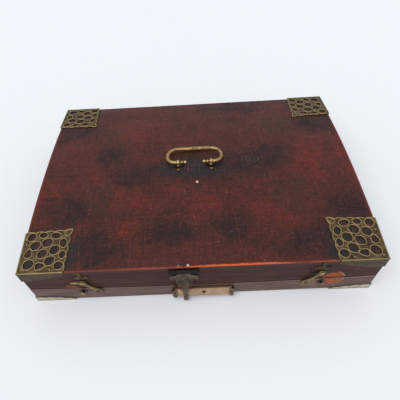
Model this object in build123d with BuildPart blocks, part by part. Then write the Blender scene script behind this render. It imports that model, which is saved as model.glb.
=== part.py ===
from build123d import *
import os
from math import asin, atan, cos, degrees, pi, radians, sin, sqrt

os.makedirs("parts", exist_ok=True)

# A flat wooden writing case with a crowned lid. Millimetres, +Z up, front towards -Y.
# The origin is on the surface it stands on, at the middle of its footprint.

# The wooden case
case_width = 400.0
case_depth = 298.0
base_height = 29.0
lid_height = 34.0  # at the front and back edges, where the crown starts
crown_rise = 9.0
panel_thickness = 6.0
rail_thickness = 9.0
rail_lap = 4.5
lid_gap = 0.3
meeting_sag = 5.5  # the front walls have warped: their meeting line dips at mid-length
meeting_chamfer = 0.8
edge_round = 1.2
glue_line = 0.1
lining_thickness = 0.8
lining_margin = 1.0

# The brass mounts on the eight corners, pierced on top and plain underneath
mount_thickness = 1.0
mount_leg = 50.5
mount_flare = 1.8
mount_seat = 28.0  # from the front or back, where the flat plate touches the crown
scallop_pitch = 11.2
scallop_count = 4
scallop_rise = 1.4
leaf_reach = 54.5
leaf_swell = 1.0
lid_skirt_depth = 14.8
lid_skirt_end = 4.0
base_skirt_length = 47.0
base_skirt_depth = 9.0
base_skirt_end = 2.5
base_plate_clip = 16.0
piercing_reach = 13.4  # from one opening of the strapwork to the next

# The bail handle on the lid
bail_x = -1.0
bail_width = 76.0
bail_reach = 27.5
bail_radius = 2.6
bail_sides = 10
bail_bend_steps = 6
bail_step = 0.15
bail_outer_bend = 14.0
bail_inner_bend = 10.0
grip_radius = 3.2
grip_band_radius = 3.6
grip_band_length = 8.0
post_spacing = 43.0
post_height = 5.2
post_thickness = 3.2
post_radius = 3.3
journal_radius = 1.5
running_clearance = 0.05
side_clearance = 0.3
collar_radius = 2.3
collar_length = 1.4
finial_neck_length = 5.0
finial_radius = 2.25
finial_length = 4.6
finial_end_radius = 1.1
stem_width = 3.0
stem_thickness = 1.8
stem_clearance = 0.1
clench_length = 8.0
clench_thickness = 1.0
rose_length = 24.0
rose_width = 17.0
rose_thickness = 0.8
strike_x = 1.2
strike_y = -31.0
strike_radius = 2.0
strike_height = 1.4
strike_taper = 30.0
strike_sides = 12

# The hasp in the middle of the front
hasp_x = -18.3
hasp_width = 33.5
hasp_axis_z = 60.0
hasp_barrel_radius = 2.4
hasp_pin_radius = 1.1
hasp_plate_height = 15.0
hasp_plate_inset = 1.0
hasp_plate_thickness = 1.2
hasp_thickness = 1.8
hasp_bend_z = 41.0
hasp_tongue_bend_z = 29.0
hasp_tongue_offset = 9.4  # front of the tongue, off the face of the case
hasp_arm_z = 49.5
hasp_arm_height = 9.5
hasp_arm_inset = 1.2
hasp_body_width = 14.0
hasp_body_taper = 1.6
hasp_waist_z = 24.0
hasp_tongue_width = 5.6
hasp_tip_z = 6.0
hasp_tip_radius = 3.2
hasp_tip_boss = 0.9
hasp_tip_taper = 45.0
hasp_scroll_x = 6.7
hasp_scroll_z = 41.0
hasp_scroll_radius = 3.2
hasp_scroll_eye = 1.3
hasp_nail_spacing = 10.1
hasp_nail_inset = 2.4
nail_radius = 1.5
nail_height = 0.7
nail_sides = 8  # hammered heads
nail_taper = 25.0

# The two swinging hooks and their catches
latch_clearance = 5.5  # between a latch's wing and the corner mount beside it
latch_z = 43.4
latch_plate_thickness = 1.3
latch_plate_width = 9.0
latch_plate_foot = 6.0
latch_wing_span = 20.0
latch_wing_height = 5.0
latch_wing_rise = 8.6
latch_spine_width = 4.0
latch_finial_rise = 17.6
latch_finial_radius = 2.7
pivot_radius = 1.6
pivot_head_radius = 3.0
pivot_head_height = 1.0
hook_thickness = 1.5
hook_reach = 24.3
hook_arm_width = 4.6
hook_foot_width = 3.6
hook_eye_radius = 4.2
hook_jaw_radius = 5.0
hook_tip_length = 3.4
hook_thumb_length = 13.5
hook_thumb_width = 3.2
hook_rest_tilt = 35.0  # inwards of plumb, hanging unhooked
hook_closed_tilt = 12.0  # outwards of plumb, round the catch
catch_plate_size = 8.4
catch_plate_thickness = 1.0
catch_radius = 1.6
catch_clearance = 0.45
catch_head_radius = 2.7
catch_head_height = 1.0

# The leather strap handle on the base and its two clasps
handle_x = 2.2
handle_length = 72.2
strap_thickness = 3.0
strap_height = 13.4
strap_bottom_z = 8.6
strap_bottom_offset = 6.6
strap_top_offset = 4.1
strap_end_cover = 3.2
strap_fit = 0.05
clasp_width = 6.0
clasp_wall = 0.8
clasp_drop = 1.6
clasp_height = 11.6
stud_z = 24.3
stud_shank = 1.8
stud_head_radius = 2.1
stud_head_height = 1.6
lug_width = 4.0
lug_thickness = 1.0
lug_overlap = 6.0

# The butt hinges at the back
hinge_inset = 75.0  # from the end of the case to the middle of a hinge
hinge_width = 45.0
hinge_leaf_height = 17.0
hinge_leaf_thickness = 1.5
hinge_barrel_radius = 3.0
hinge_pin_radius = 1.5
hinge_pin_overhang = 1.2
hinge_knuckles = 3
hinge_nail_x = 15.0
hinge_nail_radius = 2.0
hinge_nail_height = 0.6

# Heights and places that follow from these sizes
half_width = case_width / 2
half_depth = case_depth / 2
base_floor = mount_thickness
wall_floor = base_floor + panel_thickness
meeting_z = base_floor + base_height
lid_bottom = meeting_z + lid_gap
edge_z = lid_bottom + lid_height
lid_wall_top = edge_z + crown_rise
crown_radius = (half_depth**2 + crown_rise**2) / (2 * crown_rise)
crown_centre_z = edge_z + crown_rise - crown_radius
inner_width = case_width - 2 * rail_thickness
inner_depth = case_depth - 2 * rail_thickness
latch_x = half_width - mount_leg - latch_clearance - latch_wing_span / 2
hinge_x = half_width - hinge_inset


def save(piece, name):
    """Labels a finished piece and writes it to its own file."""
    piece.part.label = name
    export_step(piece.part, f"parts/{name}.step")


def crown_z(y):
    """Height of the lid's crowned top at a distance y from its middle."""
    return crown_centre_z + sqrt(crown_radius**2 - y**2)


def crown_plane(x, y):
    """A plane lying on the crown of the lid at a place, tilted as the wood is there."""
    return Plane((x, y, crown_z(y)), x_dir=(1, 0, 0), z_dir=(0, y, crown_z(y) - crown_centre_z))


def off_face(offset):
    """A plane parallel to the front of the case, offset in front of it, facing out."""
    return Plane.XZ.offset(half_depth + offset)


def crown_solid(lift):
    """Everything under the crown of the lid, raised by lift."""
    with BuildPart() as barrel:
        with BuildSketch(Plane.YZ):
            with Locations((0, crown_centre_z)):
                Circle(crown_radius + lift)
        extrude(amount=case_width, both=True)
    return barrel.part


crown_top = crown_solid(0)
crown_under_panel = crown_solid(-panel_thickness)
crown_on_walls = crown_solid(-panel_thickness - glue_line)
crown_under_lining = crown_solid(-panel_thickness - glue_line - lining_thickness)


# Front and back walls: the side walls lap into a rebate at each end
def long_wall(face_y, low, high, low_sag=0.0, high_sag=0.0, trim=None):
    """A wall whose outer face is at face_y, with its low or high edge dipping at mid-length."""
    outer = abs(face_y)
    side = 1 if face_y > 0 else -1
    start = -outer if side > 0 else outer - rail_thickness
    with BuildPart() as wall:
        with BuildSketch(Plane.XZ.offset(start)):
            with BuildLine():
                Line((-half_width, low), (-half_width, high))
                if high_sag:
                    ThreePointArc((-half_width, high), (0, high - high_sag), (half_width, high))
                else:
                    Line((-half_width, high), (half_width, high))
                Line((half_width, high), (half_width, low))
                if low_sag:
                    ThreePointArc((half_width, low), (0, low - low_sag), (-half_width, low))
                else:
                    Line((half_width, low), (-half_width, low))
            make_face()
        extrude(amount=rail_thickness)
        lap_y = side * (outer - (rail_thickness + rail_lap) / 2)
        rebate_x = half_width - rail_thickness / 2
        rebate_z = (low - low_sag + high) / 2
        with Locations((-rebate_x, lap_y, rebate_z), (rebate_x, lap_y, rebate_z)):
            Box(rail_thickness, rail_thickness - rail_lap, high - low + low_sag, mode=Mode.SUBTRACT)
        if trim:
            add(trim, mode=Mode.INTERSECT)
        if high_sag:
            rim = wall.edges().filter_by(GeomType.CIRCLE).group_by(Axis.Y)[0].sort_by(Axis.Z)[-1]
            chamfer(rim, meeting_chamfer)
    return wall


def side_wall(side, low, high, trim=None):
    """A left (side -1) or right (side 1) wall, lapped into the front and back walls."""
    with BuildPart() as wall:
        with BuildSketch(Plane.XY.offset(low)):
            with Locations((side * (half_width - rail_thickness / 2), 0)):
                Rectangle(rail_thickness, case_depth - 2 * rail_lap)
        extrude(amount=high - low)
        if trim:
            add(trim, mode=Mode.INTERSECT)
    return wall


# The base: a bottom board under four walls, lined inside
with BuildPart() as base_panel:
    with BuildSketch(Plane.XY.offset(base_floor)):
        Rectangle(case_width, case_depth)
    extrude(amount=panel_thickness)
save(base_panel, "base_panel")

save(long_wall(-half_depth, wall_floor, meeting_z, high_sag=meeting_sag), "base_front_wall")
save(long_wall(half_depth, wall_floor, meeting_z), "base_back_wall")
save(side_wall(-1, wall_floor, meeting_z), "base_left_wall")
save(side_wall(1, wall_floor, meeting_z), "base_right_wall")

with BuildPart() as base_lining:
    with BuildSketch(Plane.XY.offset(wall_floor)):
        Rectangle(inner_width - lining_margin, inner_depth - lining_margin)
    extrude(amount=lining_thickness)
save(base_lining, "base_lining")

# The lid: a crowned panel over four walls, lined inside, slotted for the posts of the bail
post_places = [(bail_x - post_spacing / 2, 0), (bail_x + post_spacing / 2, 0)]
slot_width = stem_width + 2 * stem_clearance
slot_thickness = stem_thickness + 2 * stem_clearance

with BuildPart() as lid_panel:
    with BuildSketch(Plane.XY.offset(lid_bottom)):
        Rectangle(case_width, case_depth)
    extrude(amount=lid_height + crown_rise)
    add(crown_top, mode=Mode.INTERSECT)
    add(crown_under_panel, mode=Mode.SUBTRACT)
    fillet(lid_panel.faces().sort_by(Axis.Z)[-1].edges(), edge_round)
    with BuildSketch(Plane.XY.offset(lid_bottom)):
        with Locations(*post_places):
            Rectangle(slot_thickness, slot_width)
    extrude(amount=lid_height + crown_rise, mode=Mode.SUBTRACT)
save(lid_panel, "lid_panel")

save(
    long_wall(-half_depth, lid_bottom, lid_wall_top, low_sag=meeting_sag, trim=crown_on_walls),
    "lid_front_wall",
)
save(long_wall(half_depth, lid_bottom, lid_wall_top, trim=crown_on_walls), "lid_back_wall")
save(side_wall(-1, lid_bottom, lid_wall_top, trim=crown_on_walls), "lid_left_wall")
save(side_wall(1, lid_bottom, lid_wall_top, trim=crown_on_walls), "lid_right_wall")

with BuildPart() as lid_lining:
    with BuildSketch(Plane.XY.offset(lid_bottom)):
        Rectangle(inner_width - lining_margin, inner_depth - lining_margin)
        with Locations(*post_places):
            Rectangle(slot_thickness, slot_width, mode=Mode.SUBTRACT)
    extrude(amount=lid_height + crown_rise)
    add(crown_on_walls, mode=Mode.INTERSECT)
    add(crown_under_lining, mode=Mode.SUBTRACT)
save(lid_lining, "lid_lining")


# The corner mounts, each bent from flat sheet: a plate that touches the crown, and two
# skirts. A place on a mount is given by its distances from the two faces of the case that
# meet there; the pattern is the same on both sides of the mitre line.
def scallops(notches, rise):
    """A row of convex scallops that meet at the notches."""
    for first, second in zip(notches, notches[1:]):
        SagittaArc(first, second, -rise)


def plan_notches():
    """Where the scallops of the plate's inner edge meet, from the fold to the leaf."""
    notches = [(mount_leg, -mount_thickness)]
    for k in range(1, scallop_count + 1):
        notches.append((mount_leg + mount_flare * k / scallop_count, k * scallop_pitch))
    return notches


# Half of the openings in the strapwork: place in steps of the pattern, length and width
# of the opening in the same steps, the way it points, and its number of sides
piercing_ratios = [
    (0.86, 0.82, 0.82, 0.74, 45, 6),
    (1.78, 1.72, 0.86, 0.70, 45, 4),
    (0.60, 1.74, 1.06, 0.66, 82, 3),
    (1.06, 2.46, 0.86, 0.78, 45, 4),
    (2.04, 2.74, 0.84, 0.76, 20, 5),
    (0.66, 3.32, 0.70, 0.66, 90, 6),
    (1.58, 3.48, 0.60, 0.50, 0, 4),
    (2.66, 3.40, 0.78, 0.52, -14, 6),
]


def opening_points(along, across, length, width, turn, sides):
    """The corners of one opening, a stretched polygon turned to point along turn."""
    points = []
    for k in range(round(sides)):
        reach = length / 2 * cos(2 * pi * k / sides)
        spread = width / 2 * sin(2 * pi * k / sides)
        a = along + reach * cos(radians(turn)) - spread * sin(radians(turn))
        b = across + reach * sin(radians(turn)) + spread * cos(radians(turn))
        points.append((a * piercing_reach, b * piercing_reach))
    return points


def pierced_plan():
    """Outline of a top plate, drawn from the corner of the case, with its openings."""
    edge = plan_notches()
    other_edge = [(b, a) for a, b in reversed(edge)]
    corner = (-mount_thickness, -mount_thickness)
    with BuildLine() as outline:
        Line(corner, edge[0])
        scallops(edge, scallop_rise)
        scallops([edge[-1], (leaf_reach, leaf_reach), other_edge[0]], leaf_swell)
        scallops(other_edge, scallop_rise)
        Line(other_edge[-1], corner)
    make_face(outline.edges())
    for piercing in piercing_ratios:
        points = opening_points(*piercing)
        Polygon(*points, align=None, mode=Mode.SUBTRACT)
        if piercing[0] < piercing[1] - 0.2:
            Polygon(*[(b, a) for a, b in points], align=None, mode=Mode.SUBTRACT)


def plain_plan():
    """Outline of a plate under the base, drawn from the corner, its inner corner clipped."""
    reach = base_skirt_length
    Polygon(
        (-mount_thickness, -mount_thickness),
        (reach, -mount_thickness),
        (reach, reach - base_plate_clip),
        (reach - base_plate_clip, reach),
        (-mount_thickness, reach),
        align=None,
    )


def skirt_outline(top, fold, depth, end_depth, length):
    """A scalloped skirt: top(s) is the edge it hangs from, s the distance from the corner.

    A negative depth makes it stand up from that edge. The outline is closed at fold.
    """
    side = 1 if depth > 0 else -1
    fall = abs(depth) - end_depth
    stations = [length * k / scallop_count for k in range(scallop_count + 1)]
    notches = [(s, top(s) - side * (abs(depth) - fall * (s / length) ** 2)) for s in stations]
    notches[0] = (-mount_thickness, notches[0][1])
    with BuildLine() as outline:
        Line((-mount_thickness, fold), notches[0])
        scallops(notches, side * scallop_rise)
        Line(notches[-1], (length, fold))
        Line((length, fold), (-mount_thickness, fold))
    make_face(outline.edges())


corner_plane = Plane((-half_width, -half_depth, 0))
front_corner_plane = Plane((-half_width, -half_depth, 0), x_dir=(1, 0, 0), z_dir=(0, -1, 0))
side_corner_plane = Plane((-half_width, -half_depth, 0), x_dir=(0, 1, 0), z_dir=(1, 0, 0))
seat_plane = crown_plane(-half_width, mount_seat - half_depth)
seat_slope = (half_depth - mount_seat) / (seat_plane.origin.Z - crown_centre_z)


def seat_z(s):
    """Height of the flat plate's underside at a distance s from the front."""
    return seat_plane.origin.Z + (s - mount_seat) * seat_slope


with BuildPart() as lid_mount_plate:
    with BuildSketch(corner_plane.offset(lid_bottom)):
        pierced_plan()
    extrude(amount=lid_height + crown_rise)
    split(bisect_by=seat_plane, keep=Keep.TOP)

with BuildPart() as lid_mount:
    with BuildSketch(front_corner_plane):
        skirt_outline(lambda s: seat_z(0), lid_wall_top, lid_skirt_depth, lid_skirt_end, mount_leg)
    extrude(amount=mount_thickness)
    with BuildSketch(side_corner_plane.offset(-mount_thickness)):
        skirt_outline(seat_z, lid_wall_top, lid_skirt_depth, lid_skirt_end, mount_leg)
    extrude(amount=mount_thickness)
    add(lid_mount_plate.part)
    split(bisect_by=seat_plane.offset(mount_thickness), keep=Keep.BOTTOM)

with BuildPart() as base_mount:
    with BuildSketch(corner_plane):
        plain_plan()
    extrude(amount=mount_thickness)
    for plane in (front_corner_plane, side_corner_plane.offset(-mount_thickness)):
        with BuildSketch(plane):
            skirt_outline(
                lambda s: base_floor, 0, -base_skirt_depth, base_skirt_end, base_skirt_length
            )
        extrude(amount=mount_thickness)


def mirrored(piece, *planes):
    """The same piece reflected in one or more planes of the case."""
    shape = piece.part
    for plane in planes:
        with BuildPart() as other:
            mirror(shape, about=plane)
        shape = other.part
    return other


for level, first in (("lid", lid_mount), ("base", base_mount)):
    save(first, f"{level}_corner_front_left")
    save(mirrored(first, Plane.YZ), f"{level}_corner_front_right")
    save(mirrored(first, Plane.XZ), f"{level}_corner_back_left")
    save(mirrored(first, Plane.XZ, Plane.YZ), f"{level}_corner_back_right")

# The bail: a bar bent to a flat loop, swelling at the grip, whose ends turn in through two
# posts. It lies back on the lid, drooping until the band round the grip nearly rests there.
lid_top_z = crown_z(0)
pivot_z = lid_top_z + post_height
grip_rest_z = crown_z(bail_reach + grip_band_radius) + side_clearance + grip_band_radius
bail_droop = asin((pivot_z - grip_rest_z) / bail_reach)
bail_plane = Plane(
    (bail_x, 0, pivot_z), x_dir=(1, 0, 0), z_dir=(0, sin(bail_droop), cos(bail_droop))
)
arm_x = bail_width / 2 - bail_radius
journal_start = (post_spacing + post_thickness) / 2 + side_clearance
journal_length = post_thickness + 2 * side_clearance
grip_half = arm_x - bail_outer_bend
grip_line = bail_plane.from_local_coords((0, bail_reach, 0))


def faceted_bar(place, radius, end_radius, length):
    """Adds a bar of flat facets that narrows to its end; a negative length runs backwards."""
    with BuildSketch(place) as section:
        RegularPolygon(radius, bail_sides)
    narrowing = (radius - end_radius) * cos(pi / bail_sides)
    extrude(section.sketch, amount=length, taper=degrees(atan(narrowing / abs(length))))


def quarter_bend(x, y, radius, start):
    """Points of a quarter bend round a centre, clockwise from the angle start."""
    angles = [radians(start - 90 * k / bail_bend_steps) for k in range(bail_bend_steps + 1)]
    return [(x + radius * cos(angle), y + radius * sin(angle)) for angle in angles]


with BuildPart() as bail_handle:
    with BuildLine(bail_plane) as bail_path:
        inner_x, outer_x = arm_x - bail_inner_bend, arm_x - bail_outer_bend
        Polyline(
            (-journal_start, 0),
            *quarter_bend(-inner_x, bail_inner_bend, bail_inner_bend, 270),
            *quarter_bend(-outer_x, bail_reach - bail_outer_bend, bail_outer_bend, 180),
            *quarter_bend(outer_x, bail_reach - bail_outer_bend, bail_outer_bend, 90),
            *quarter_bend(inner_x, bail_inner_bend, bail_inner_bend, 0),
            (journal_start, 0),
        )
    with BuildSketch(Plane(bail_path.line @ 0, z_dir=bail_path.line % 0)):
        RegularPolygon(bail_radius, bail_sides)
    sweep(transition=Transition.RIGHT)
    neck_length = journal_length + finial_neck_length
    for side in (-1, 1):
        grip = Plane(grip_line, x_dir=(0, 1, 0), z_dir=(side, 0, 0))
        faceted_bar(grip, grip_radius, bail_radius + bail_step, grip_half)
        faceted_bar(grip, grip_band_radius, grip_band_radius, grip_band_length / 2)
        inwards = Plane((bail_x + side * journal_start, 0, pivot_z), z_dir=(-side, 0, 0))
        with BuildSketch(inwards):
            Circle(journal_radius)
        extrude(amount=neck_length)
        bulb = inwards.offset(neck_length + finial_length / 2)
        faceted_bar(bulb, finial_radius, finial_end_radius, finial_length / 2)
        faceted_bar(bulb, finial_radius, journal_radius, -finial_length / 2)
        collar_start = bail_x + side * (journal_start - journal_length)
        with BuildSketch(Plane.YZ.offset(collar_start)):
            with Locations((0, pivot_z)):
                RegularPolygon(collar_radius, nail_sides)
        extrude(amount=-side * collar_length)
save(bail_handle, "bail_handle")

# Each post is a split pin: its two ends come through the lid and are clenched over inside
clench_z = lid_top_z - panel_thickness - 2 * glue_line - lining_thickness
rose_top_z = lid_top_z + rose_thickness
for (post_x, post_y), name in zip(post_places, ("left", "right")):
    with BuildPart() as bail_post:
        with BuildSketch(Plane.YZ.offset(post_x - post_thickness / 2)):
            with Locations((post_y, pivot_z)):
                Circle(post_radius)
            with Locations((post_y, (pivot_z + rose_top_z) / 2)):
                Rectangle(2 * post_radius, pivot_z - rose_top_z)
            with Locations((post_y, pivot_z)):
                Circle(journal_radius + running_clearance, mode=Mode.SUBTRACT)
        extrude(amount=post_thickness)
        with BuildSketch(Plane.XY.offset(clench_z - clench_thickness)):
            with Locations((post_x, post_y)):
                Rectangle(stem_thickness, clench_length)
        extrude(amount=clench_thickness)
        with BuildSketch(Plane.XY.offset(clench_z)):
            with Locations((post_x, post_y)):
                Rectangle(stem_thickness, stem_width)
        extrude(amount=rose_top_z - clench_z)
    save(bail_post, f"bail_post_{name}")

    with BuildPart() as bail_rose:
        with BuildSketch(Plane.XY.offset(lid_top_z)):
            with Locations((post_x, post_y)):
                Polygon(
                    (0, -rose_length / 2),
                    (rose_width / 2, 0),
                    (0, rose_length / 2),
                    (-rose_width / 2, 0),
                    align=None,
                )
                Rectangle(slot_thickness, slot_width, mode=Mode.SUBTRACT)
        extrude(amount=rose_thickness)
        chamfer(
            bail_rose.faces().sort_by(Axis.Z)[-1].outer_wire().edges(), rose_thickness / 2
        )
    save(bail_rose, f"bail_rose_{name}")

with BuildPart() as bail_stud:
    with BuildSketch(crown_plane(strike_x, strike_y)):
        RegularPolygon(strike_radius, strike_sides)
    extrude(amount=strike_height, taper=strike_taper)
save(bail_stud, "bail_stud")

# The hasp hangs from a barrel on the lid's front wall. Its tongue steps out to pass over
# the strap handle and ends in a round tip.
hasp_axis_offset = side_clearance + hasp_barrel_radius
hasp_axis_y = -half_depth - hasp_axis_offset
hasp_left = hasp_x - hasp_width / 2
hasp_knuckle = hasp_width / 4


def hasp_round(start, length, radius, mode=Mode.ADD):
    """A round bar, or its bore, along the axis of the hasp's barrel."""
    with BuildSketch(Plane.YZ.offset(start)) as disc:
        with Locations((hasp_axis_y, hasp_axis_z)):
            Circle(radius)
    extrude(disc.sketch, amount=length, mode=mode)


with BuildPart() as hasp_plate:
    plate_top = hasp_axis_z - hasp_barrel_radius - side_clearance
    tab_starts = [hasp_left, hasp_left + hasp_width - hasp_knuckle]
    with BuildSketch(off_face(0)):
        with Locations((hasp_x, plate_top - hasp_plate_height / 2)):
            Rectangle(hasp_width - 2 * hasp_plate_inset, hasp_plate_height)
        for start in tab_starts:
            with Locations((start + hasp_knuckle / 2, (plate_top + hasp_axis_z) / 2)):
                Rectangle(hasp_knuckle, hasp_axis_z - plate_top)
    extrude(amount=hasp_plate_thickness)
    for start in tab_starts:
        hasp_round(start, hasp_knuckle, hasp_barrel_radius)
    hasp_round(hasp_left, hasp_width, hasp_pin_radius, mode=Mode.SUBTRACT)
save(hasp_plate, "hasp_plate")

hasp_front = hasp_axis_offset + hasp_barrel_radius
middle_knuckle = hasp_width - 2 * (hasp_knuckle + side_clearance)
half_body = hasp_body_width / 2
half_tongue = hasp_tongue_width / 2
hip_z = hasp_scroll_z - hasp_scroll_radius
right_edge = [
    (half_body, hasp_arm_z),
    (half_body - hasp_body_taper, hip_z),
    (half_tongue, hasp_waist_z),
    (half_tongue, hasp_tip_z),
]
left_edge = [(-across, z) for across, z in reversed(right_edge)]

with BuildPart() as hasp:
    with BuildSketch(Plane.YZ.offset(hasp_left)):
        near = [
            (hasp_front, hasp_axis_z),
            (hasp_front, hasp_bend_z),
            (hasp_tongue_offset, hasp_tongue_bend_z),
            (hasp_tongue_offset, hasp_tip_z - hasp_tip_radius),
        ]
        far = [(offset - hasp_thickness, z) for offset, z in reversed(near)]
        Polygon(*[(-half_depth - offset, z) for offset, z in near + far], align=None)
    extrude(amount=hasp_width)
    with BuildSketch(off_face(0)):
        with Locations((hasp_x, (hasp_arm_z + hasp_axis_z) / 2)):
            Rectangle(middle_knuckle, hasp_axis_z - hasp_arm_z)
        with Locations((hasp_x, hasp_arm_z)):
            SlotOverall(hasp_width - 2 * hasp_arm_inset, hasp_arm_height)
        with Locations((hasp_x, 0)):
            Polygon(*right_edge, *left_edge, align=None)
            with Locations((-hasp_scroll_x, hasp_scroll_z), (hasp_scroll_x, hasp_scroll_z)):
                Circle(hasp_scroll_radius)
                RegularPolygon(hasp_scroll_eye, nail_sides, mode=Mode.SUBTRACT)
            with Locations((0, hasp_tip_z)):
                Circle(hasp_tip_radius)
    extrude(amount=hasp_tongue_offset, mode=Mode.INTERSECT)
    hasp_round(hasp_x - middle_knuckle / 2, middle_knuckle, hasp_barrel_radius)
    hasp_round(hasp_left, hasp_width, hasp_pin_radius + running_clearance, mode=Mode.SUBTRACT)
    with BuildSketch(off_face(hasp_tongue_offset)):
        with Locations((hasp_x, hasp_tip_z)):
            Circle(hasp_tip_radius)
    extrude(amount=hasp_tip_boss, taper=hasp_tip_taper)
save(hasp, "hasp")

with BuildPart() as hasp_pin:
    hasp_round(hasp_left, hasp_width, hasp_pin_radius)
save(hasp_pin, "hasp_pin")

with BuildPart() as hasp_nails:
    nail_y = -half_depth + hasp_nail_inset
    for side in (-1, 1):
        with BuildSketch(crown_plane(hasp_x + side * hasp_nail_spacing / 2, nail_y)):
            RegularPolygon(nail_radius, nail_sides)
        extrude(amount=nail_height)
save(hasp_nails, "hasp_nails")

# The latches: a plate and pivot on the lid, a hook that swings in the plane of the front,
# and a headed catch on the base. The hooks hang unhooked, pointing inwards.
hook_low = latch_plate_thickness + side_clearance
head_low = hook_low + hook_thickness + side_clearance
catch_x = latch_x + hook_reach * sin(radians(hook_closed_tilt))
catch_z = latch_z - hook_reach * cos(radians(hook_closed_tilt))
catch_slot = catch_radius + catch_clearance
wing_low = latch_wing_rise - latch_wing_height / 2
wing_high = latch_wing_rise + latch_wing_height / 2
cross_edge = [
    (latch_plate_width / 2, -latch_plate_foot),
    (latch_plate_width / 2, latch_plate_foot / 2),
    (latch_spine_width / 2, wing_low),
    (latch_wing_span / 2, latch_wing_rise),
    (latch_spine_width / 2, wing_high),
    (latch_spine_width / 2, latch_finial_rise),
]


def disc(place, offset, radius):
    """A round drawn on a plane in front of the case."""
    with BuildSketch(off_face(offset)) as face:
        with Locations(place):
            Circle(radius)
    return face.sketch


for side, name in ((-1, "left"), (1, "right")):
    pivot = (side * latch_x, latch_z)
    with BuildPart() as latch_plate:
        with BuildSketch(off_face(0)):
            with Locations(pivot):
                Polygon(*cross_edge, *[(-a, z) for a, z in reversed(cross_edge)], align=None)
                with Locations((0, latch_finial_rise)):
                    Circle(latch_finial_radius)
        extrude(amount=latch_plate_thickness)
        extrude(
            disc(pivot, latch_plate_thickness, pivot_radius),
            amount=head_low - latch_plate_thickness,
        )
        with BuildSketch(off_face(head_low)):
            with Locations(pivot):
                RegularPolygon(pivot_head_radius, nail_sides)
        extrude(amount=pivot_head_height, taper=nail_taper)
    save(latch_plate, f"latch_plate_{name}")

    turn = radians(hook_rest_tilt)
    hook_plane = Plane(
        (side * latch_x, -half_depth - hook_low, latch_z),
        x_dir=(cos(turn), 0, -side * sin(turn)),
        z_dir=(0, -1, 0),
    )
    with BuildPart() as latch_hook:
        with BuildSketch(hook_plane):
            Polygon(
                (-hook_arm_width / 2, 0),
                (-hook_foot_width / 2, -hook_reach),
                (hook_foot_width / 2, -hook_reach),
                (hook_arm_width / 2, 0),
                align=None,
            )
            Circle(hook_eye_radius)
            with Locations((0, -hook_reach)):
                Circle(hook_jaw_radius)
                Polygon(
                    (-hook_foot_width / 2, -hook_jaw_radius / 2),
                    (0, -hook_jaw_radius - hook_tip_length),
                    (hook_foot_width / 2, -hook_jaw_radius / 2),
                    align=None,
                )
                Circle(catch_slot, mode=Mode.SUBTRACT)
                with Locations((side * hook_jaw_radius / 2, 0)):
                    Rectangle(hook_jaw_radius, 2 * catch_slot, mode=Mode.SUBTRACT)
        extrude(amount=hook_thickness)
        with BuildSketch(off_face(hook_low)):
            with Locations((side * latch_x - hook_thumb_length / 2, latch_z)):
                Rectangle(hook_thumb_length, hook_thumb_width)
        extrude(amount=hook_thickness)
        extrude(
            disc(pivot, hook_low, pivot_radius + running_clearance),
            amount=hook_thickness,
            mode=Mode.SUBTRACT,
        )
    save(latch_hook, f"latch_hook_{name}")

    catch = (side * catch_x, catch_z)
    with BuildPart() as latch_catch:
        with BuildSketch(off_face(0)):
            with Locations(catch):
                Rectangle(catch_plate_size, catch_plate_size, rotation=45)
        extrude(amount=catch_plate_thickness)
        extrude(
            disc(catch, catch_plate_thickness, catch_radius),
            amount=head_low - catch_plate_thickness,
        )
        with BuildSketch(off_face(head_low)):
            with Locations(catch):
                RegularPolygon(catch_head_radius, nail_sides)
        extrude(amount=catch_head_height, taper=nail_taper)
    save(latch_catch, f"latch_catch_{name}")

# The strap handle leans out at its foot. Its plane runs up the front of the leather.
strap_lean = asin((strap_bottom_offset - strap_top_offset) / strap_height)
strap_plane = Plane(
    (handle_x, -half_depth - strap_bottom_offset, strap_bottom_z),
    x_dir=(1, 0, 0),
    z_dir=(0, -cos(strap_lean), sin(strap_lean)),
)
strap_length = handle_length - 2 * (clasp_width - strap_end_cover)

with BuildPart() as handle_strap:
    with BuildSketch(strap_plane.offset(-strap_thickness)):
        with Locations((0, strap_height / 2)):
            Rectangle(strap_length, strap_height)
    extrude(amount=strap_thickness)
save(handle_strap, "handle_strap")

# A clasp folds round each end of the leather; its lug is held to the case by a stud
clasp_depth = strap_thickness + 2 * (clasp_wall + strap_fit)
pocket_depth = strap_thickness + 2 * strap_fit
lug_length = lug_width + lug_overlap
clasp_spacing = handle_length - clasp_width
for side, name in ((-1, "left"), (1, "right")):
    with BuildPart() as handle_clasp:
        with BuildSketch(strap_plane.offset(-strap_thickness - strap_fit - clasp_wall)):
            with Locations((side * clasp_spacing / 2, (clasp_height - clasp_drop) / 2)):
                SlotOverall(clasp_height + clasp_drop, clasp_width, rotation=90)
        extrude(amount=clasp_depth)
        with BuildSketch(strap_plane.offset(-strap_thickness - strap_fit)):
            with Locations((0, strap_height / 2)):
                Rectangle(strap_length + 2 * strap_fit, strap_height + 2 * strap_fit)
        extrude(amount=pocket_depth, mode=Mode.SUBTRACT)
        with BuildSketch(off_face(strap_fit)):
            with Locations((handle_x + side * clasp_spacing / 2, stud_z)):
                with Locations((0, (lug_width - lug_length) / 2)):
                    Rectangle(lug_width, lug_length)
                Rectangle(
                    stud_shank + 2 * strap_fit, stud_shank + 2 * strap_fit, mode=Mode.SUBTRACT
                )
        extrude(amount=lug_thickness)
    save(handle_clasp, f"handle_clasp_{name}")

with BuildPart() as handle_studs:
    stud_places = [(handle_x + side * clasp_spacing / 2, stud_z) for side in (-1, 1)]
    stud_seat = lug_thickness + 2 * strap_fit
    with BuildSketch(off_face(0)):
        with Locations(*stud_places):
            Rectangle(stud_shank, stud_shank)
    extrude(amount=stud_seat)
    with BuildSketch(off_face(stud_seat)):
        with Locations(*stud_places):
            RegularPolygon(stud_head_radius, nail_sides)
    extrude(amount=stud_head_height, taper=nail_taper)
save(handle_studs, "handle_studs")

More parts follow.
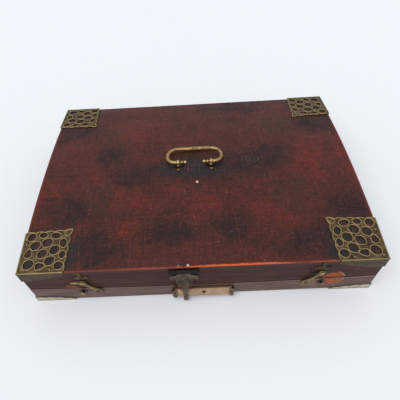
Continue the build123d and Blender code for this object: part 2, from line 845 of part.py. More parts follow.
# The butt hinges on the back: the base leaf carries the outer knuckles, the lid leaf the
# middle one, and the pin is fixed in the base leaf
hinge_axis_y = half_depth + side_clearance + hinge_barrel_radius
hinge_axis_z = (meeting_z + lid_bottom) / 2
knuckle_length = hinge_width / hinge_knuckles


def hinge_round(start, length, radius, mode=Mode.ADD):
    """A round bar, or its bore, along the axis of the hinges."""
    with BuildSketch(Plane.YZ.offset(start)) as end:
        with Locations((hinge_axis_y, hinge_axis_z)):
            Circle(radius)
    extrude(end.sketch, amount=length, mode=mode)


def hinge_leaf(centre_x, up, knuckles):
    """The leaf above (up 1) or below (up -1) the barrel, with its own knuckles."""
    leaf_edge = hinge_axis_z + up * (hinge_barrel_radius + side_clearance)
    stretch = knuckle_length - side_clearance
    starts = [centre_x - hinge_width / 2 + k * knuckle_length + side_clearance / 2 for k in knuckles]
    with BuildPart() as leaf:
        with BuildSketch(Plane.XZ.offset(-half_depth - hinge_leaf_thickness)):
            with Locations((centre_x, leaf_edge + up * hinge_leaf_height / 2)):
                Rectangle(hinge_width, hinge_leaf_height)
            for start in starts:
                with Locations((start + stretch / 2, (leaf_edge + hinge_axis_z) / 2)):
                    Rectangle(stretch, abs(leaf_edge - hinge_axis_z))
        extrude(amount=hinge_leaf_thickness)
        for start in starts:
            hinge_round(start, stretch, hinge_barrel_radius)
        bore = hinge_pin_radius + (running_clearance if up > 0 else 0)
        hinge_round(centre_x - hinge_width / 2, hinge_width, bore, mode=Mode.SUBTRACT)
    return leaf


for side, name in ((-1, "left"), (1, "right")):
    save(hinge_leaf(side * hinge_x, 1, [1]), f"lid_hinge_leaf_{name}")
    save(hinge_leaf(side * hinge_x, -1, [0, 2]), f"base_hinge_leaf_{name}")
    with BuildPart() as hinge_pin:
        hinge_round(
            side * hinge_x - hinge_width / 2 - hinge_pin_overhang,
            hinge_width + 2 * hinge_pin_overhang,
            hinge_pin_radius,
        )
    save(hinge_pin, f"hinge_pin_{name}")

for up, name in ((1, "lid"), (-1, "base")):
    with BuildPart() as hinge_nails:
        nail_z = hinge_axis_z + up * (hinge_barrel_radius + hinge_leaf_height / 2)
        with BuildSketch(Plane.XZ.offset(-half_depth - hinge_leaf_thickness - hinge_nail_height)):
            for side in (-1, 1):
                with Locations((side * hinge_x, nail_z)):
                    with Locations((-hinge_nail_x, 0), (hinge_nail_x, 0)):
                        RegularPolygon(hinge_nail_radius, nail_sides)
        extrude(amount=hinge_nail_height)
    save(hinge_nails, f"{name}_hinge_nails")
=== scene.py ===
"""The look of a flat writing case: worn red lacquer, pierced brass mounts and a small bail.

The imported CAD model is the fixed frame. Every piece is made in that frame, sized here in
millimetres, and rides on one of its bodies.
"""

import logging
import math
from collections.abc import Callable, Iterator, Sequence
from dataclasses import dataclass, field
from enum import Enum

import bmesh
import bpy
from mathutils import Matrix, Vector, noise
from mathutils.geometry import tessellate_polygon


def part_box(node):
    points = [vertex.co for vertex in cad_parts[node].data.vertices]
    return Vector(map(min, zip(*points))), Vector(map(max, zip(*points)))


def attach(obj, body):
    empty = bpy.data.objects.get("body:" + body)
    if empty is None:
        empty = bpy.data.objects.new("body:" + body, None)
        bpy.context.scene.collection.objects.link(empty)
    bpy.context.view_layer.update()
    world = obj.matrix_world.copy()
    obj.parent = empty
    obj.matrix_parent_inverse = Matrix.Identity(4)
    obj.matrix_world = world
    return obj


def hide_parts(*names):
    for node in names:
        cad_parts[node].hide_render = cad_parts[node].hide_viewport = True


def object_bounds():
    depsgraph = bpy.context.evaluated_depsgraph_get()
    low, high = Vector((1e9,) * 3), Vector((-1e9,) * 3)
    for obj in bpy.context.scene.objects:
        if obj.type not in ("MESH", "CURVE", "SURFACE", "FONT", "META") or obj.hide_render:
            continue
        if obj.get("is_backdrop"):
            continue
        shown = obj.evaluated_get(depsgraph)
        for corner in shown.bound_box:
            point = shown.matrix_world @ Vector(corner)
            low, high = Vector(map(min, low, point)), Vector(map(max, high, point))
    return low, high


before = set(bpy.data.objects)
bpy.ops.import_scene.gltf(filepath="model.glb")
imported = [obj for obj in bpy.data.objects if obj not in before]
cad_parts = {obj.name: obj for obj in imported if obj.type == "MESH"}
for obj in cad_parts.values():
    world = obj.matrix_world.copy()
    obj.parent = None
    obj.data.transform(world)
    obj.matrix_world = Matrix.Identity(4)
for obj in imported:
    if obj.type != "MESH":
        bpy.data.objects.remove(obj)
CAD_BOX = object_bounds()

MM = 0.001
Flat = tuple[float, float]
Spot = tuple[float, float, float]
Placer = Callable[[float, float, float], Vector]
Socket = bpy.types.NodeSocket
UP = (0, 0, 1)
AHEAD = (0, -1, 0)
log = logging.getLogger("writing_case")


class Body(Enum):
    """The bodies that pieces ride on."""

    BASE = "base"
    LID = "lid"
    BAIL = "bail"
    HASP = "hasp_flap"
    HOOK_LEFT = "hook_left"
    HOOK_RIGHT = "hook_right"


class Side(Enum):
    """The two ends of the case, by the sign of X."""

    LEFT = -1
    RIGHT = 1

    @property
    def word(self) -> str:
        """The side's name as the nodes have it."""
        return self.name.lower()


# Finishes


def linear(code: str) -> tuple[float, float, float, float]:
    """Turns an sRGB colour to linear light.

    Args:
        code: Six hex digits.

    Returns:
        Red, green and blue in linear light, and an alpha of one.
    """
    parts = [int(code[k : k + 2], 16) / 255 for k in (0, 2, 4)]
    red, green, blue = (
        part / 12.92 if part <= 0.04045 else ((part + 0.055) / 1.055) ** 2.4 for part in parts
    )
    return red, green, blue, 1.0


def add(
    tree: bpy.types.NodeTree,
    kind: str,
    settings: dict[str, object] | None = None,
    inputs: dict[str | int, object] | None = None,
) -> bpy.types.Node:
    """Adds one node with its settings and links.

    Args:
        tree: The node tree that gets it.
        kind: The node's type.
        settings: Its properties by name.
        inputs: Its inputs by name or place; a socket is linked, anything else is its value.

    Returns:
        The new node.
    """
    made = tree.nodes.new(kind)
    for key, value in (settings or {}).items():
        setattr(made, key, value)
    for key, value in (inputs or {}).items():
        if isinstance(value, Socket):
            tree.links.new(value, made.inputs[key])
        else:
            made.inputs[key].default_value = value
    return made


@dataclass
class Painter:
    """Draws the patterns of one finish in millimetres of the piece's own space."""

    tree: bpy.types.NodeTree
    place: Socket
    # A soft patch starts to fade at its core and has gone at its rim, in shares of its size
    rim: float = 1.1
    core: float = 0.2

    def grain(
        self, size: Spot, detail: float = 3.0, shift: float = 0.0, rough: float = 0.55
    ) -> Socket:
        """Noise whose grains have a real size.

        Args:
            size: Length of a grain along X, Y and Z, in millimetres.
            detail: How many finer layers it has.
            shift: Moves the pattern, so that two of them differ.
            rough: How strong the finer layers are.

        Returns:
            A socket from 0 to 1, mostly near the middle.
        """
        scaled = add(
            self.tree,
            "ShaderNodeMapping",
            inputs={
                "Vector": self.place,
                "Location": (shift, 1.7 * shift, 0.6 * shift),
                "Scale": tuple(1 / length for length in size),
            },
        )
        made = add(
            self.tree,
            "ShaderNodeTexNoise",
            inputs={
                "Vector": scaled.outputs["Vector"], "Scale": 1.0, "Detail": detail,
                "Roughness": rough,
            },
        )
        return made.outputs["Fac"]

    def warped(self, reach: float, size: float) -> "Painter":
        """A painter whose place wanders, so that plain shapes get natural ragged edges.

        Args:
            reach: How far it wanders, in millimetres.
            size: How long its waves are.

        Returns:
            The other painter.
        """
        drift = add(
            self.tree,
            "ShaderNodeTexNoise",
            inputs={"Vector": self.place, "Scale": 1 / size, "Detail": 5.0, "Roughness": 0.6},
        )
        moved = add(
            self.tree,
            "ShaderNodeVectorMath",
            {"operation": "MULTIPLY_ADD"},
            {0: drift.outputs["Color"], 1: (reach,) * 3, 2: self.place},
        )
        centred = add(
            self.tree,
            "ShaderNodeVectorMath",
            {"operation": "SUBTRACT"},
            {0: moved.outputs["Vector"], 1: (reach / 2,) * 3},
        )
        return Painter(self.tree, centred.outputs["Vector"])

    def distance(self, centre: Spot, size: Spot) -> Socket:
        """How far a place is from the centre of an oval.

        Args:
            centre: The oval's centre.
            size: Its half lengths.

        Returns:
            A socket that is 0 at the centre and 1 on the oval.
        """
        scale = tuple(1 / length for length in size)
        moved = add(
            self.tree,
            "ShaderNodeMapping",
            inputs={
                "Vector": self.place,
                "Location": tuple(-c * s for c, s in zip(centre, scale)),
                "Scale": scale,
            },
        )
        way = {0: moved.outputs["Vector"]}
        return add(self.tree, "ShaderNodeVectorMath", {"operation": "LENGTH"}, way).outputs["Value"]

    def rise(
        self, value: Socket, low: float, high: float, least: float = 0.0, most: float = 1.0
    ) -> Socket:
        """A soft step of a socket between two of its values.

        Args:
            value: The socket.
            low: Where the step starts.
            high: Where it ends.
            least: What it gives at its start.
            most: What it gives at its end.

        Returns:
            The step's socket.
        """
        return add(
            self.tree,
            "ShaderNodeMapRange",
            {"interpolation_type": "SMOOTHSTEP"},
            {"Value": value, "From Min": low, "From Max": high, "To Min": least, "To Max": most},
        ).outputs["Result"]

    def blots(self, places: Sequence[tuple[Spot, Spot]]) -> Socket:
        """Joins several soft oval patches to one mask.

        Args:
            places: The centre and the half lengths of each.

        Returns:
            A socket that is 1 inside their cores and 0 outside their rims.
        """
        total: Socket | float = 0.0
        for centre, size in places:
            near = self.rise(self.distance(centre, size), self.rim, self.core)
            both = {0: near, 1: total}
            total = add(self.tree, "ShaderNodeMath", {"operation": "MAXIMUM"}, both).outputs[0]
        return total

    def laid(
        self,
        under: Socket | str,
        over: Socket | str,
        mask: Socket,
        low: float = 0.0,
        high: float = 1.0,
        most: float = 1.0,
    ) -> Socket:
        """Lays one colour over another where a mask rises.

        Args:
            under: The colour below, a socket or sRGB hex digits.
            over: The colour above, the same.
            mask: The socket that says where.
            low: Where the mask starts to show.
            high: Where it shows in full.
            most: How much of the colour below it hides at most.

        Returns:
            The mixed colour's socket.
        """
        share = self.rise(mask, low, high, 0.0, most)
        colours = {
            key: linear(value) if isinstance(value, str) else value
            for key, value in ((6, under), (7, over))
        }
        mixed = add(self.tree, "ShaderNodeMix", {"data_type": "RGBA"}, {0: share, **colours})
        return mixed.outputs[2]

    def sum(self, *parts: tuple[Socket, float]) -> Socket:
        """Adds sockets, each with its weight, to one value.

        Args:
            parts: Pairs of a socket and a weight.

        Returns:
            The sum's socket.
        """
        total: Socket | float = 0.0
        for socket, weight in parts:
            terms = {0: socket, 1: weight, 2: total}
            made = add(self.tree, "ShaderNodeMath", {"operation": "MULTIPLY_ADD"}, terms)
            total = made.outputs["Value"]
        return total

    def product(self, *sockets: Socket) -> Socket:
        """Multiplies masks.

        Args:
            sockets: The masks.

        Returns:
            A socket that leaves only what all of them cover.
        """
        total = sockets[0]
        for socket in sockets[1:]:
            both = {0: total, 1: socket}
            total = add(self.tree, "ShaderNodeMath", {"operation": "MULTIPLY"}, both).outputs[0]
        return total

    def wear(self) -> Socket:
        """How rubbed each point of the mesh is, from the piece itself."""
        return add(self.tree, "ShaderNodeAttribute", {"attribute_name": "wear"}).outputs["Fac"]


@dataclass(frozen=True)
class Coat:
    """The sockets that a finish hands to its shader."""

    colour: Socket
    roughness: Socket
    height: Socket


@dataclass(frozen=True)
class Finish:
    """A surface: what it is made of, how it was made, and the depth of its relief."""

    name: str = "finish"
    metallic: float = 0.0
    ior: float = 1.5
    gloss: float = 0.5
    relief: float = 0.1
    sheen: float = 0.0

    def paint(self, painter: Painter) -> Coat:
        """Draws the finish; each kind of finish has its own.

        Args:
            painter: Draws its patterns.

        Returns:
            The sockets of its colour, roughness and relief.
        """
        raise NotImplementedError

    def material(self) -> bpy.types.Material:
        """Makes the finish's material once and hands out the same one after that.

        Returns:
            The material.
        """
        found = bpy.data.materials.get(self.name)
        if found:
            return found
        made = bpy.data.materials.new(self.name)
        made.use_nodes = True
        tree = made.node_tree
        tree.nodes.clear()
        own_space = add(tree, "ShaderNodeTexCoord")
        millimetres = add(
            tree,
            "ShaderNodeVectorMath",
            {"operation": "SCALE"},
            {0: own_space.outputs["Object"], "Scale": 1 / MM},
        )
        coat = self.paint(Painter(tree, millimetres.outputs["Vector"]))
        bump = add(
            tree,
            "ShaderNodeBump",
            inputs={"Height": coat.height, "Distance": self.relief * MM, "Strength": 1.0},
        )
        shader = add(
            tree,
            "ShaderNodeBsdfPrincipled",
            inputs={
                "Base Color": coat.colour, "Roughness": coat.roughness,
                "Normal": bump.outputs["Normal"], "Metallic": self.metallic, "IOR": self.ior,
                "Specular IOR Level": self.gloss, "Sheen Weight": self.sheen,
            },
        )
        add(tree, "ShaderNodeOutputMaterial", inputs={"Surface": shader.outputs["BSDF"]})
        return made


@dataclass(frozen=True)
class LidLacquer(Finish):
    """Red oil lacquer brushed on coarse cloth-marked hardwood, worn and darkened by handling.

    It gives the eye a dull deep red under a brown-black veil, with fine threads both ways,
    pale specks, long cracks, bare orange wood along the front edge, and painted shade under
    the bail and round the mounts.
    """

    name: str = "brushed_red_lacquer_lid"
    gloss: float = 0.16
    relief: float = 0.2
    red: str = "6F281F"
    warm: str = "4D2620"
    dark: str = "271D1C"
    olive: str = "3D2E1F"
    shade: str = "2B2727"
    bare: str = "C85A2A"
    speck: str = "A98472"
    fleck: str = "7E4234"
    thread: str = "8A4438"
    knot_dark: str = "231C1A"
    knot_ring: str = "5B4A42"
    end_red: str = "7E2F24"
    front_red: str = "86362A"
    lip: str = "B0553A"
    below: str = "3C2723"
    speck_pitch: float = 13.0
    knot_rings: float = 19.0
    edge_z: float = 64.3
    dark_clouds: Sequence[tuple[Spot, Spot]] = (
        ((14, -2, 73), (112, 34, 20)), ((96, 10, 73), (50, 34, 20)),
        ((-74, -14, 73), (60, 30, 20)), ((-150, -66, 70), (52, 30, 20)),
        ((-122, -122, 66), (50, 34, 20)), ((40, -98, 72), (44, 34, 20)),
        ((124, -122, 66), (58, 34, 20)), ((176, -78, 70), (44, 36, 20)),
        ((-36, -104, 68), (50, 26, 20)), ((-172, 84, 69), (44, 30, 20)),
        ((176, 78, 70), (44, 34, 20)), ((-30, -72, 72), (20, 12, 20)),
        ((-114, 26, 73), (30, 26, 20)), ((60, 132, 66), (70, 24, 20)),
        ((10, 4, 73), (60, 26, 20)),
    )
    bright_clouds: Sequence[tuple[Spot, Spot]] = (
        ((-194, -40, 71), (40, 38, 20)), ((-84, 78, 70), (60, 36, 20)),
        ((6, -74, 70), (60, 26, 20)), ((84, -84, 70), (40, 28, 20)), ((150, 8, 73), (34, 60, 20)),
        ((-100, -50, 72), (50, 24, 20)), ((-72, -96, 68), (30, 16, 20)),
        ((-120, -14, 73), (34, 20, 20)), ((196, 4, 73), (20, 50, 20)),
    )
    olive_clouds: Sequence[tuple[Spot, Spot]] = (
        ((-120, 72, 71), (34, 42, 20)), ((118, 84, 70), (46, 44, 20)),
        ((114, -56, 72), (44, 42, 20)), ((-118, -48, 72), (26, 46, 20)),
        ((8, 24, 73), (60, 26, 20)),
    )
    # Painted shade, with some dirt: the lacquer is darkened under the bail and round the four
    # corner mounts
    shade_and_grime_clouds: Sequence[tuple[Spot, Spot]] = (
        ((-6, -8, 73), (62, 25, 20)), ((-178, -128, 66), (58, 50, 20)),
        ((178, -128, 66), (56, 50, 20)), ((-178, 128, 66), (48, 44, 20)),
        ((178, 128, 66), (48, 44, 20)),
    )
    knot: tuple[Spot, Spot] = ((72, 6, 73), (15, 9, 30))

    def paint(self, painter: Painter) -> Coat:
        """Draws the lid's lacquer from its clouds down to its threads and specks.

        Args:
            painter: Draws its patterns.

        Returns:
            The sockets of its colour, roughness and relief.
        """
        mottle = painter.grain((30, 22, 20), 8.0, 3.0, 0.68)
        fine = painter.grain((4.5, 3.5, 4), 5.0, 9.0, 0.72)
        # The cloth marks are 0.8 mm apart on the real lid; drawn at 2 mm they just show
        warp = painter.grain((1.7, 22, 22), 3.0, 1.0)
        weft = painter.grain((30, 2.2, 8), 3.0, 5.0)
        threads = painter.sum((warp, 0.6), (weft, 0.4))
        flecks = painter.grain((1.9, 1.5, 2), 2.0, 27.0)
        drifting = painter.warped(52.0, 30.0)
        dark = drifting.blots(self.dark_clouds)
        bright = drifting.blots(self.bright_clouds)
        veil = painter.sum(
            (dark, 0.36), (bright, -0.16), (mottle, 0.8), (fine, 1.3), (threads, 0.9)
        )
        colour = painter.laid(self.red, self.warm, veil, 1.18, 1.52)
        colour = painter.laid(colour, self.dark, veil, 1.48, 1.96)
        olive = drifting.blots(self.olive_clouds)
        colour = painter.laid(colour, self.olive, painter.product(olive, fine), 0.1, 0.6, 0.6)
        # Painted shade with some dirt, laid in the shade colour under the bail and round the corner
        # mounts
        shaded_grime = painter.warped(24.0, 22.0).blots(self.shade_and_grime_clouds)
        grime_and_shade = painter.sum((shaded_grime, 1.0), (mottle, 0.4))
        colour = painter.laid(colour, self.shade, grime_and_shade, 0.3, 0.85, 0.97)
        cracks = painter.grain((90, 1.2, 30), 1.0, 40.0, 0.3)
        colour = painter.laid(colour, self.dark, cracks, 0.66, 0.74, 0.7)
        colour = painter.laid(colour, self.dark, flecks, 0.56, 0.72, 0.75)
        colour = painter.laid(colour, self.fleck, flecks, 0.42, 0.28, 0.44)
        dents = painter.grain((9, 8, 8), 1.0, 21.0, 0.4)
        colour = painter.laid(colour, self.dark, dents, 0.68, 0.76, 0.6)
        colour = self.ringed(painter, colour)
        colour = painter.laid(colour, self.dark, threads, 0.5, 0.38, 0.6)
        colour = painter.laid(colour, self.thread, threads, 0.55, 0.68, 0.42)
        cells = add(
            painter.tree,
            "ShaderNodeTexVoronoi",
            {"feature": "F1"},
            {"Vector": painter.place, "Scale": 1 / self.speck_pitch},
        )
        colour = painter.laid(colour, self.speck, cells.outputs["Distance"], 0.06, 0.03, 0.35)
        colour = self.edges(painter, colour, fine, mottle)
        roughness = painter.sum((fine, 0.25), (threads, 0.12), (dark, 0.04), (mottle, 0.5))
        height = painter.sum((threads, 0.7), (fine, 0.35), (cracks, -0.5))
        return Coat(colour, roughness, height)

    def ringed(self, painter: Painter, colour: Socket) -> Socket:
        """Adds the ringed knot that darkened the lacquer beside the bail.

        Args:
            painter: Draws its patterns.
            colour: The lacquer without it.

        Returns:
            The lacquer with it.
        """
        near = painter.warped(3.0, 6.0).distance(*self.knot)
        phase = painter.sum((near, self.knot_rings))
        wave = add(painter.tree, "ShaderNodeMath", {"operation": "SINE"}, {0: phase})
        body = painter.rise(near, 1.1, 0.8)
        colour = painter.laid(colour, self.knot_dark, body, 0.0, 1.0, 0.75)
        rings = painter.product(body, painter.rise(wave.outputs["Value"], 0.2, 0.9))
        return painter.laid(colour, self.knot_ring, rings, 0.1, 0.9, 0.6)

    def edges(self, painter: Painter, colour: Socket, fine: Socket, mottle: Socket) -> Socket:
        """Adds the rubbed edges: red at the ends, bare wood in front, dark on the face.

        Args:
            painter: Draws their patterns.
            colour: The lacquer without them.
            fine: Fine noise that makes them ragged.
            mottle: Coarse noise that breaks them up.

        Returns:
            The lacquer with them.
        """
        tree = painter.tree
        parts = add(tree, "ShaderNodeSeparateXYZ", inputs={0: painter.place})
        across = {0: parts.outputs["X"]}
        side = add(tree, "ShaderNodeMath", {"operation": "ABSOLUTE"}, across).outputs["Value"]
        rubbed = painter.sum((side, 1.0), (fine, 3.0))
        colour = painter.laid(colour, self.end_red, rubbed, 197.8, 200.6, 0.7)
        front = painter.sum((parts.outputs["Y"], -1.0), (fine, 4.0), (mottle, 5.0))
        colour = painter.laid(colour, self.front_red, front, 150.4, 153.0, 0.5)
        # Hands have bared the wood from the hasp to the right latch, hardly at the left
        along = painter.sum((parts.outputs["X"], 1.0), (mottle, 110.0), (fine, 30.0))
        lip = painter.product(
            painter.rise(front, 152.2, 153.6), painter.rise(along, -30.0, 60.0, 0.5, 1.0)
        )
        colour = painter.laid(colour, self.lip, lip, 0.0, 1.0, 0.62)
        right = painter.rise(along, 40.0, 84.0, 0.12, 0.95)
        ends = painter.rise(painter.sum((side, 1.0), (mottle, 60.0)), 150.0, 100.0)
        strip = painter.rise(front, 151.2, 152.8)
        bared = painter.product(strip, right, ends)
        colour = painter.laid(colour, self.bare, bared, 0.05, 0.8)
        low = painter.sum((parts.outputs["Z"], -1.0), (fine, 0.8))
        return painter.laid(colour, self.below, low, 1.1 - self.edge_z, 1.6 - self.edge_z)


@dataclass(frozen=True)
class WallStain(Finish):
    """Brown oil stain rubbed into planed hardwood walls, worn to bare wood by the hooks.

    It gives a dull brown face with long horizontal streaks, a lighter rubbed line on the lid's
    lower edge, a painted highlight on the base's top edge and a painted shade line in the gap
    between them, orange bare patches under the hooks, and plain raw wood inside.
    """

    name: str = "rubbed_brown_stain"
    gloss: float = 0.1
    relief: float = 0.16
    face: str = "3C2723"
    streak: str = "261A18"
    light: str = "4E3530"
    rim: str = "6E3A2E"
    bare: str = "AE5C2D"
    raw: str = "6F4E33"
    raw_dark: str = "57402C"
    joint: str = "160C0A"
    scratched: str = "74391F"
    furrow: str = "4A2A20"
    arc: str = "C08A66"
    meeting: float = 30.15
    sag: float = 5.5
    half_width: float = 200.0
    half_depth: float = 149.0
    patches: Sequence[tuple[Spot, Spot]] = (
        ((151.0, -149, 26), (13.0, 30, 15.5)), ((-150, -149, 28.3), (10.0, 30, 5.0)),
        ((-156, -149, 28.0), (14.0, 30, 2.2)), ((-125.5, -149, 28.5), (5.0, 30, 3.4)),
    )

    def paint(self, painter: Painter) -> Coat:
        """Draws the stain, its streaks, the worn patches and the raw inside.

        Args:
            painter: Draws its patterns.

        Returns:
            The sockets of its colour, roughness and relief.
        """
        tree = painter.tree
        # The wood's pores are 0.3 mm wide; streaks of 1.8 mm are the finest that show
        streaks = painter.grain((60, 60, 1.8), 4.0, 4.0, 0.6)
        mottle = painter.grain((34, 30, 9), 5.0, 12.0, 0.6)
        fine = painter.grain((2.2, 2.2, 1.6), 3.0, 7.0)
        colour = painter.laid(self.face, self.light, mottle, 0.4, 0.66)
        colour = painter.laid(colour, self.streak, streaks, 0.5, 0.34, 0.75)
        colour = painter.laid(colour, self.streak, fine, 0.55, 0.72, 0.35)
        parts = add(tree, "ShaderNodeSeparateXYZ", inputs={0: painter.place})
        square = painter.product(parts.outputs["X"], parts.outputs["X"])
        level = painter.sum(
            (parts.outputs["Z"], 1.0), (square, -self.sag / self.half_width**2), (fine, 0.6)
        )
        ahead = painter.rise(parts.outputs["Y"], -100.0, -140.0)
        colour = self.worn_patches(painter, colour, streaks, fine)
        # Along the meeting: a rubbed reddish line on the lid's lower edge, a painted highlight on
        # the base's top edge, and a painted shade line in the gap between lid and base
        for tint, height, half, most in (
            (self.rim, 2.2, 1.0, 0.5), (self.light, -1.5, 0.8, 0.6), (self.joint, 0.4, 1.1, 0.95)
        ):
            line = add(
                tree,
                "ShaderNodeMath",
                {"operation": "COMPARE"},
                {0: level, 1: self.meeting - self.sag + height, 2: half},
            ).outputs["Value"]
            colour = painter.laid(colour, tint, painter.product(line, ahead), 0.0, 1.0, most)
        outside = add(tree, "ShaderNodeVectorMath", {"operation": "ABSOLUTE"}, {0: painter.place})
        faces = add(tree, "ShaderNodeSeparateXYZ", inputs={0: outside.outputs["Vector"]})
        ends = add(
            tree,
            "ShaderNodeMath",
            {"operation": "SUBTRACT"},
            {0: faces.outputs["X"], 1: self.half_width - self.half_depth},
        )
        skin = add(
            tree,
            "ShaderNodeMath",
            {"operation": "MAXIMUM"},
            {0: faces.outputs["Y"], 1: ends.outputs["Value"]},
        ).outputs["Value"]
        inside = painter.laid(self.raw_dark, self.raw, streaks, 0.35, 0.65)
        colour = painter.laid(inside, colour, skin, self.half_depth - 1.6, self.half_depth - 0.8)
        roughness = painter.sum((fine, 0.2), (streaks, 0.2), (mottle, 0.7))
        height = painter.sum((streaks, 0.8), (fine, 0.4))
        return Coat(colour, roughness, height)

    def worn_patches(
        self, painter: Painter, colour: Socket, streaks: Socket, fine: Socket
    ) -> Socket:
        """Adds the bare patches, scratched along the grain, with a paler arc on the right.

        Args:
            painter: Draws their patterns.
            colour: The stain without them.
            streaks: The streaks of the grain.
            fine: Fine noise.

        Returns:
            The stain with them.
        """
        ragged = painter.warped(5.0, 6.0)
        parts = add(painter.tree, "ShaderNodeSeparateXYZ", inputs={0: painter.place})
        # The hook has swept the right patch from above, so it fades downwards
        fade = painter.rise(parts.outputs["Z"], 8.0, 21.0)
        for centre, size in self.patches:
            near = ragged.distance(centre, size)
            worn = painter.sum(
                (painter.product(painter.rise(near, 1.12, 0.7), fade), 1.2),
                (streaks, 1.5),
                (fine, 1.3),
            )
            tint = painter.laid(self.bare, self.scratched, fine, 0.42, 0.62, 0.85)
            tint = painter.laid(tint, self.furrow, streaks, 0.5, 0.36, 0.7)
            share = painter.product(painter.rise(worn, 1.5, 2.2), painter.rise(near, 1.35, 1.05))
            colour = painter.laid(colour, tint, share, 0.0, 1.0, 0.88)
        centre, size = self.patches[0]
        near = painter.warped(2.0, 9.0).distance(centre, size)
        arc = painter.product(
            painter.rise(near, 0.86, 0.96),
            painter.rise(near, 1.08, 0.98),
            painter.rise(parts.outputs["X"], 148.0, 158.0),
        )
        return painter.laid(colour, self.arc, painter.product(arc, fine), 0.15, 0.6, 0.7)


@dataclass(frozen=True)
class Brass(Finish):
    """Sheet or cast brass, tarnished, with its high rims rubbed bright.

    It gives a metal that is brown-olive in the hollows and yellow where hands and cloth
    reach, mottled at the size of a fingertip.
    """

    name: str = "tarnished_sheet_brass"
    metallic: float = 0.85
    relief: float = 0.12
    hollow: str = "3B3222"
    tarnish: str = "5E5034"
    bright: str = "B39A5C"
    spots: str = "2C2A1F"
    worn: float = 1.0
    patchy: float = 0.0
    base_roughness: float = 0.42
    # Where the rubbed metal starts to show as the wear rises, and how much later it is full
    rub_start: float = 0.72
    rub_length: float = 0.6

    def paint(self, painter: Painter) -> Coat:
        """Draws the tarnish, the rubbed rims and small dark spots.

        Args:
            painter: Draws its patterns.

        Returns:
            The sockets of its colour, roughness and relief.
        """
        mottle = painter.grain((7, 7, 7), 5.0, 2.0, 0.62)
        fine = painter.grain((1.6, 1.6, 1.6), 3.0, 8.0)
        wear = painter.wear()
        browned = painter.sum((mottle, 1.0), (wear, 0.3))
        colour = painter.laid(self.hollow, self.tarnish, browned, 0.4, 0.7)
        rubbed = painter.sum((wear, self.worn), (mottle, 0.5 + self.patchy), (fine, 0.35))
        low = self.rub_start + 0.5 * self.patchy
        colour = painter.laid(colour, self.bright, rubbed, low, low + self.rub_length, 0.95)
        colour = painter.laid(colour, self.spots, fine, 0.62, 0.74, 0.55)
        roughness = painter.sum((fine, 0.2), (mottle, 0.25), (wear, -0.1))
        lifted = add(
            painter.tree, "ShaderNodeMath", {"operation": "ADD"},
            {0: roughness, 1: self.base_roughness - 0.2},
        )
        return Coat(colour, lifted.outputs["Value"], painter.sum((fine, 0.6), (mottle, 0.6)))


@dataclass(frozen=True)
class Leather(Finish):
    """Vegetable-tanned strap leather, cut and pressed flat, dry with age.

    It gives a dull tan face with a close pebbled grain, darker along its edges: grime from
    handling, with painted shade where the strap meets the case and its clasps.
    """

    name: str = "tanned_strap_leather"
    ior: float = 1.46
    gloss: float = 0.3
    relief: float = 0.2
    tan: str = "9C7B5E"
    pale: str = "B8977A"
    grime_and_shade: str = "4B3526"
    scuffed: str = "7A5B42"
    pebble: float = 1.1

    def paint(self, painter: Painter) -> Coat:
        """Draws the tan, its grime towards the edges and the pebbled grain.

        Args:
            painter: Draws its patterns.

        Returns:
            The sockets of its colour, roughness and relief.
        """
        mottle = painter.grain((12, 8, 6), 5.0, 6.0, 0.62)
        pebble = add(
            painter.tree,
            "ShaderNodeTexVoronoi",
            {"feature": "SMOOTH_F1"},
            {"Vector": painter.place, "Scale": 1 / self.pebble, "Smoothness": 0.6},
        ).outputs["Distance"]
        scuffs = painter.grain((9, 2, 1.1), 4.0, 15.0, 0.7)
        colour = painter.laid(self.tan, self.pale, mottle, 0.36, 0.66)
        # Grime with painted shade: darker along the strap's edges and beside its clasps, where its
        # wear marks them
        edge_grime_and_shade = painter.sum((painter.wear(), 1.0), (mottle, 0.5))
        colour = painter.laid(colour, self.grime_and_shade, edge_grime_and_shade, 0.62, 1.3, 0.8)
        colour = painter.laid(colour, self.scuffed, scuffs, 0.58, 0.74, 0.6)
        roughness = painter.sum((pebble, 0.2), (mottle, 0.25), (scuffs, 0.7))
        return Coat(colour, roughness, painter.sum((pebble, 0.7), (scuffs, 0.5)))


@dataclass(frozen=True)
class LiningCloth(Finish):
    """Plain-woven dyed cotton, pasted down with flour paste.

    It gives a dull red field with threads at right angles, faded in soft patches.
    """

    name: str = "woven_red_cotton"
    gloss: float = 0.2
    relief: float = 0.25
    sheen: float = 0.25
    thread: float = 1.1
    deep: str = "3A1416"
    faded: str = "6B2E2A"
    shadow: str = "23090B"

    def paint(self, painter: Painter) -> Coat:
        """Draws the crossed threads, 1.1 mm wide so that they show, over faded patches.

        Args:
            painter: Draws its patterns.

        Returns:
            The sockets of its colour, roughness and relief.
        """
        waves = [
            add(
                painter.tree,
                "ShaderNodeTexWave",
                {"bands_direction": axis},
                {
                    "Vector": painter.place, "Scale": 0.314 / self.thread, "Distortion": 1.2,
                    "Detail": 2.0,
                },
            ).outputs["Fac"]
            for axis in ("X", "Y")
        ]
        weave = painter.product(*waves)
        patches = painter.grain((38, 44, 20), 5.0, 31.0, 0.6)
        fuzz = painter.grain((1.2, 1.2, 1.2), 3.0, 2.0)
        colour = painter.laid(self.deep, self.faded, patches, 0.36, 0.68)
        colour = painter.laid(colour, self.shadow, weave, 0.3, 0.0, 0.5)
        roughness = painter.sum((fuzz, 1.4), (patches, 0.1), (weave, 0.1))
        return Coat(colour, roughness, painter.sum((weave, 1.0), (fuzz, 0.4)))


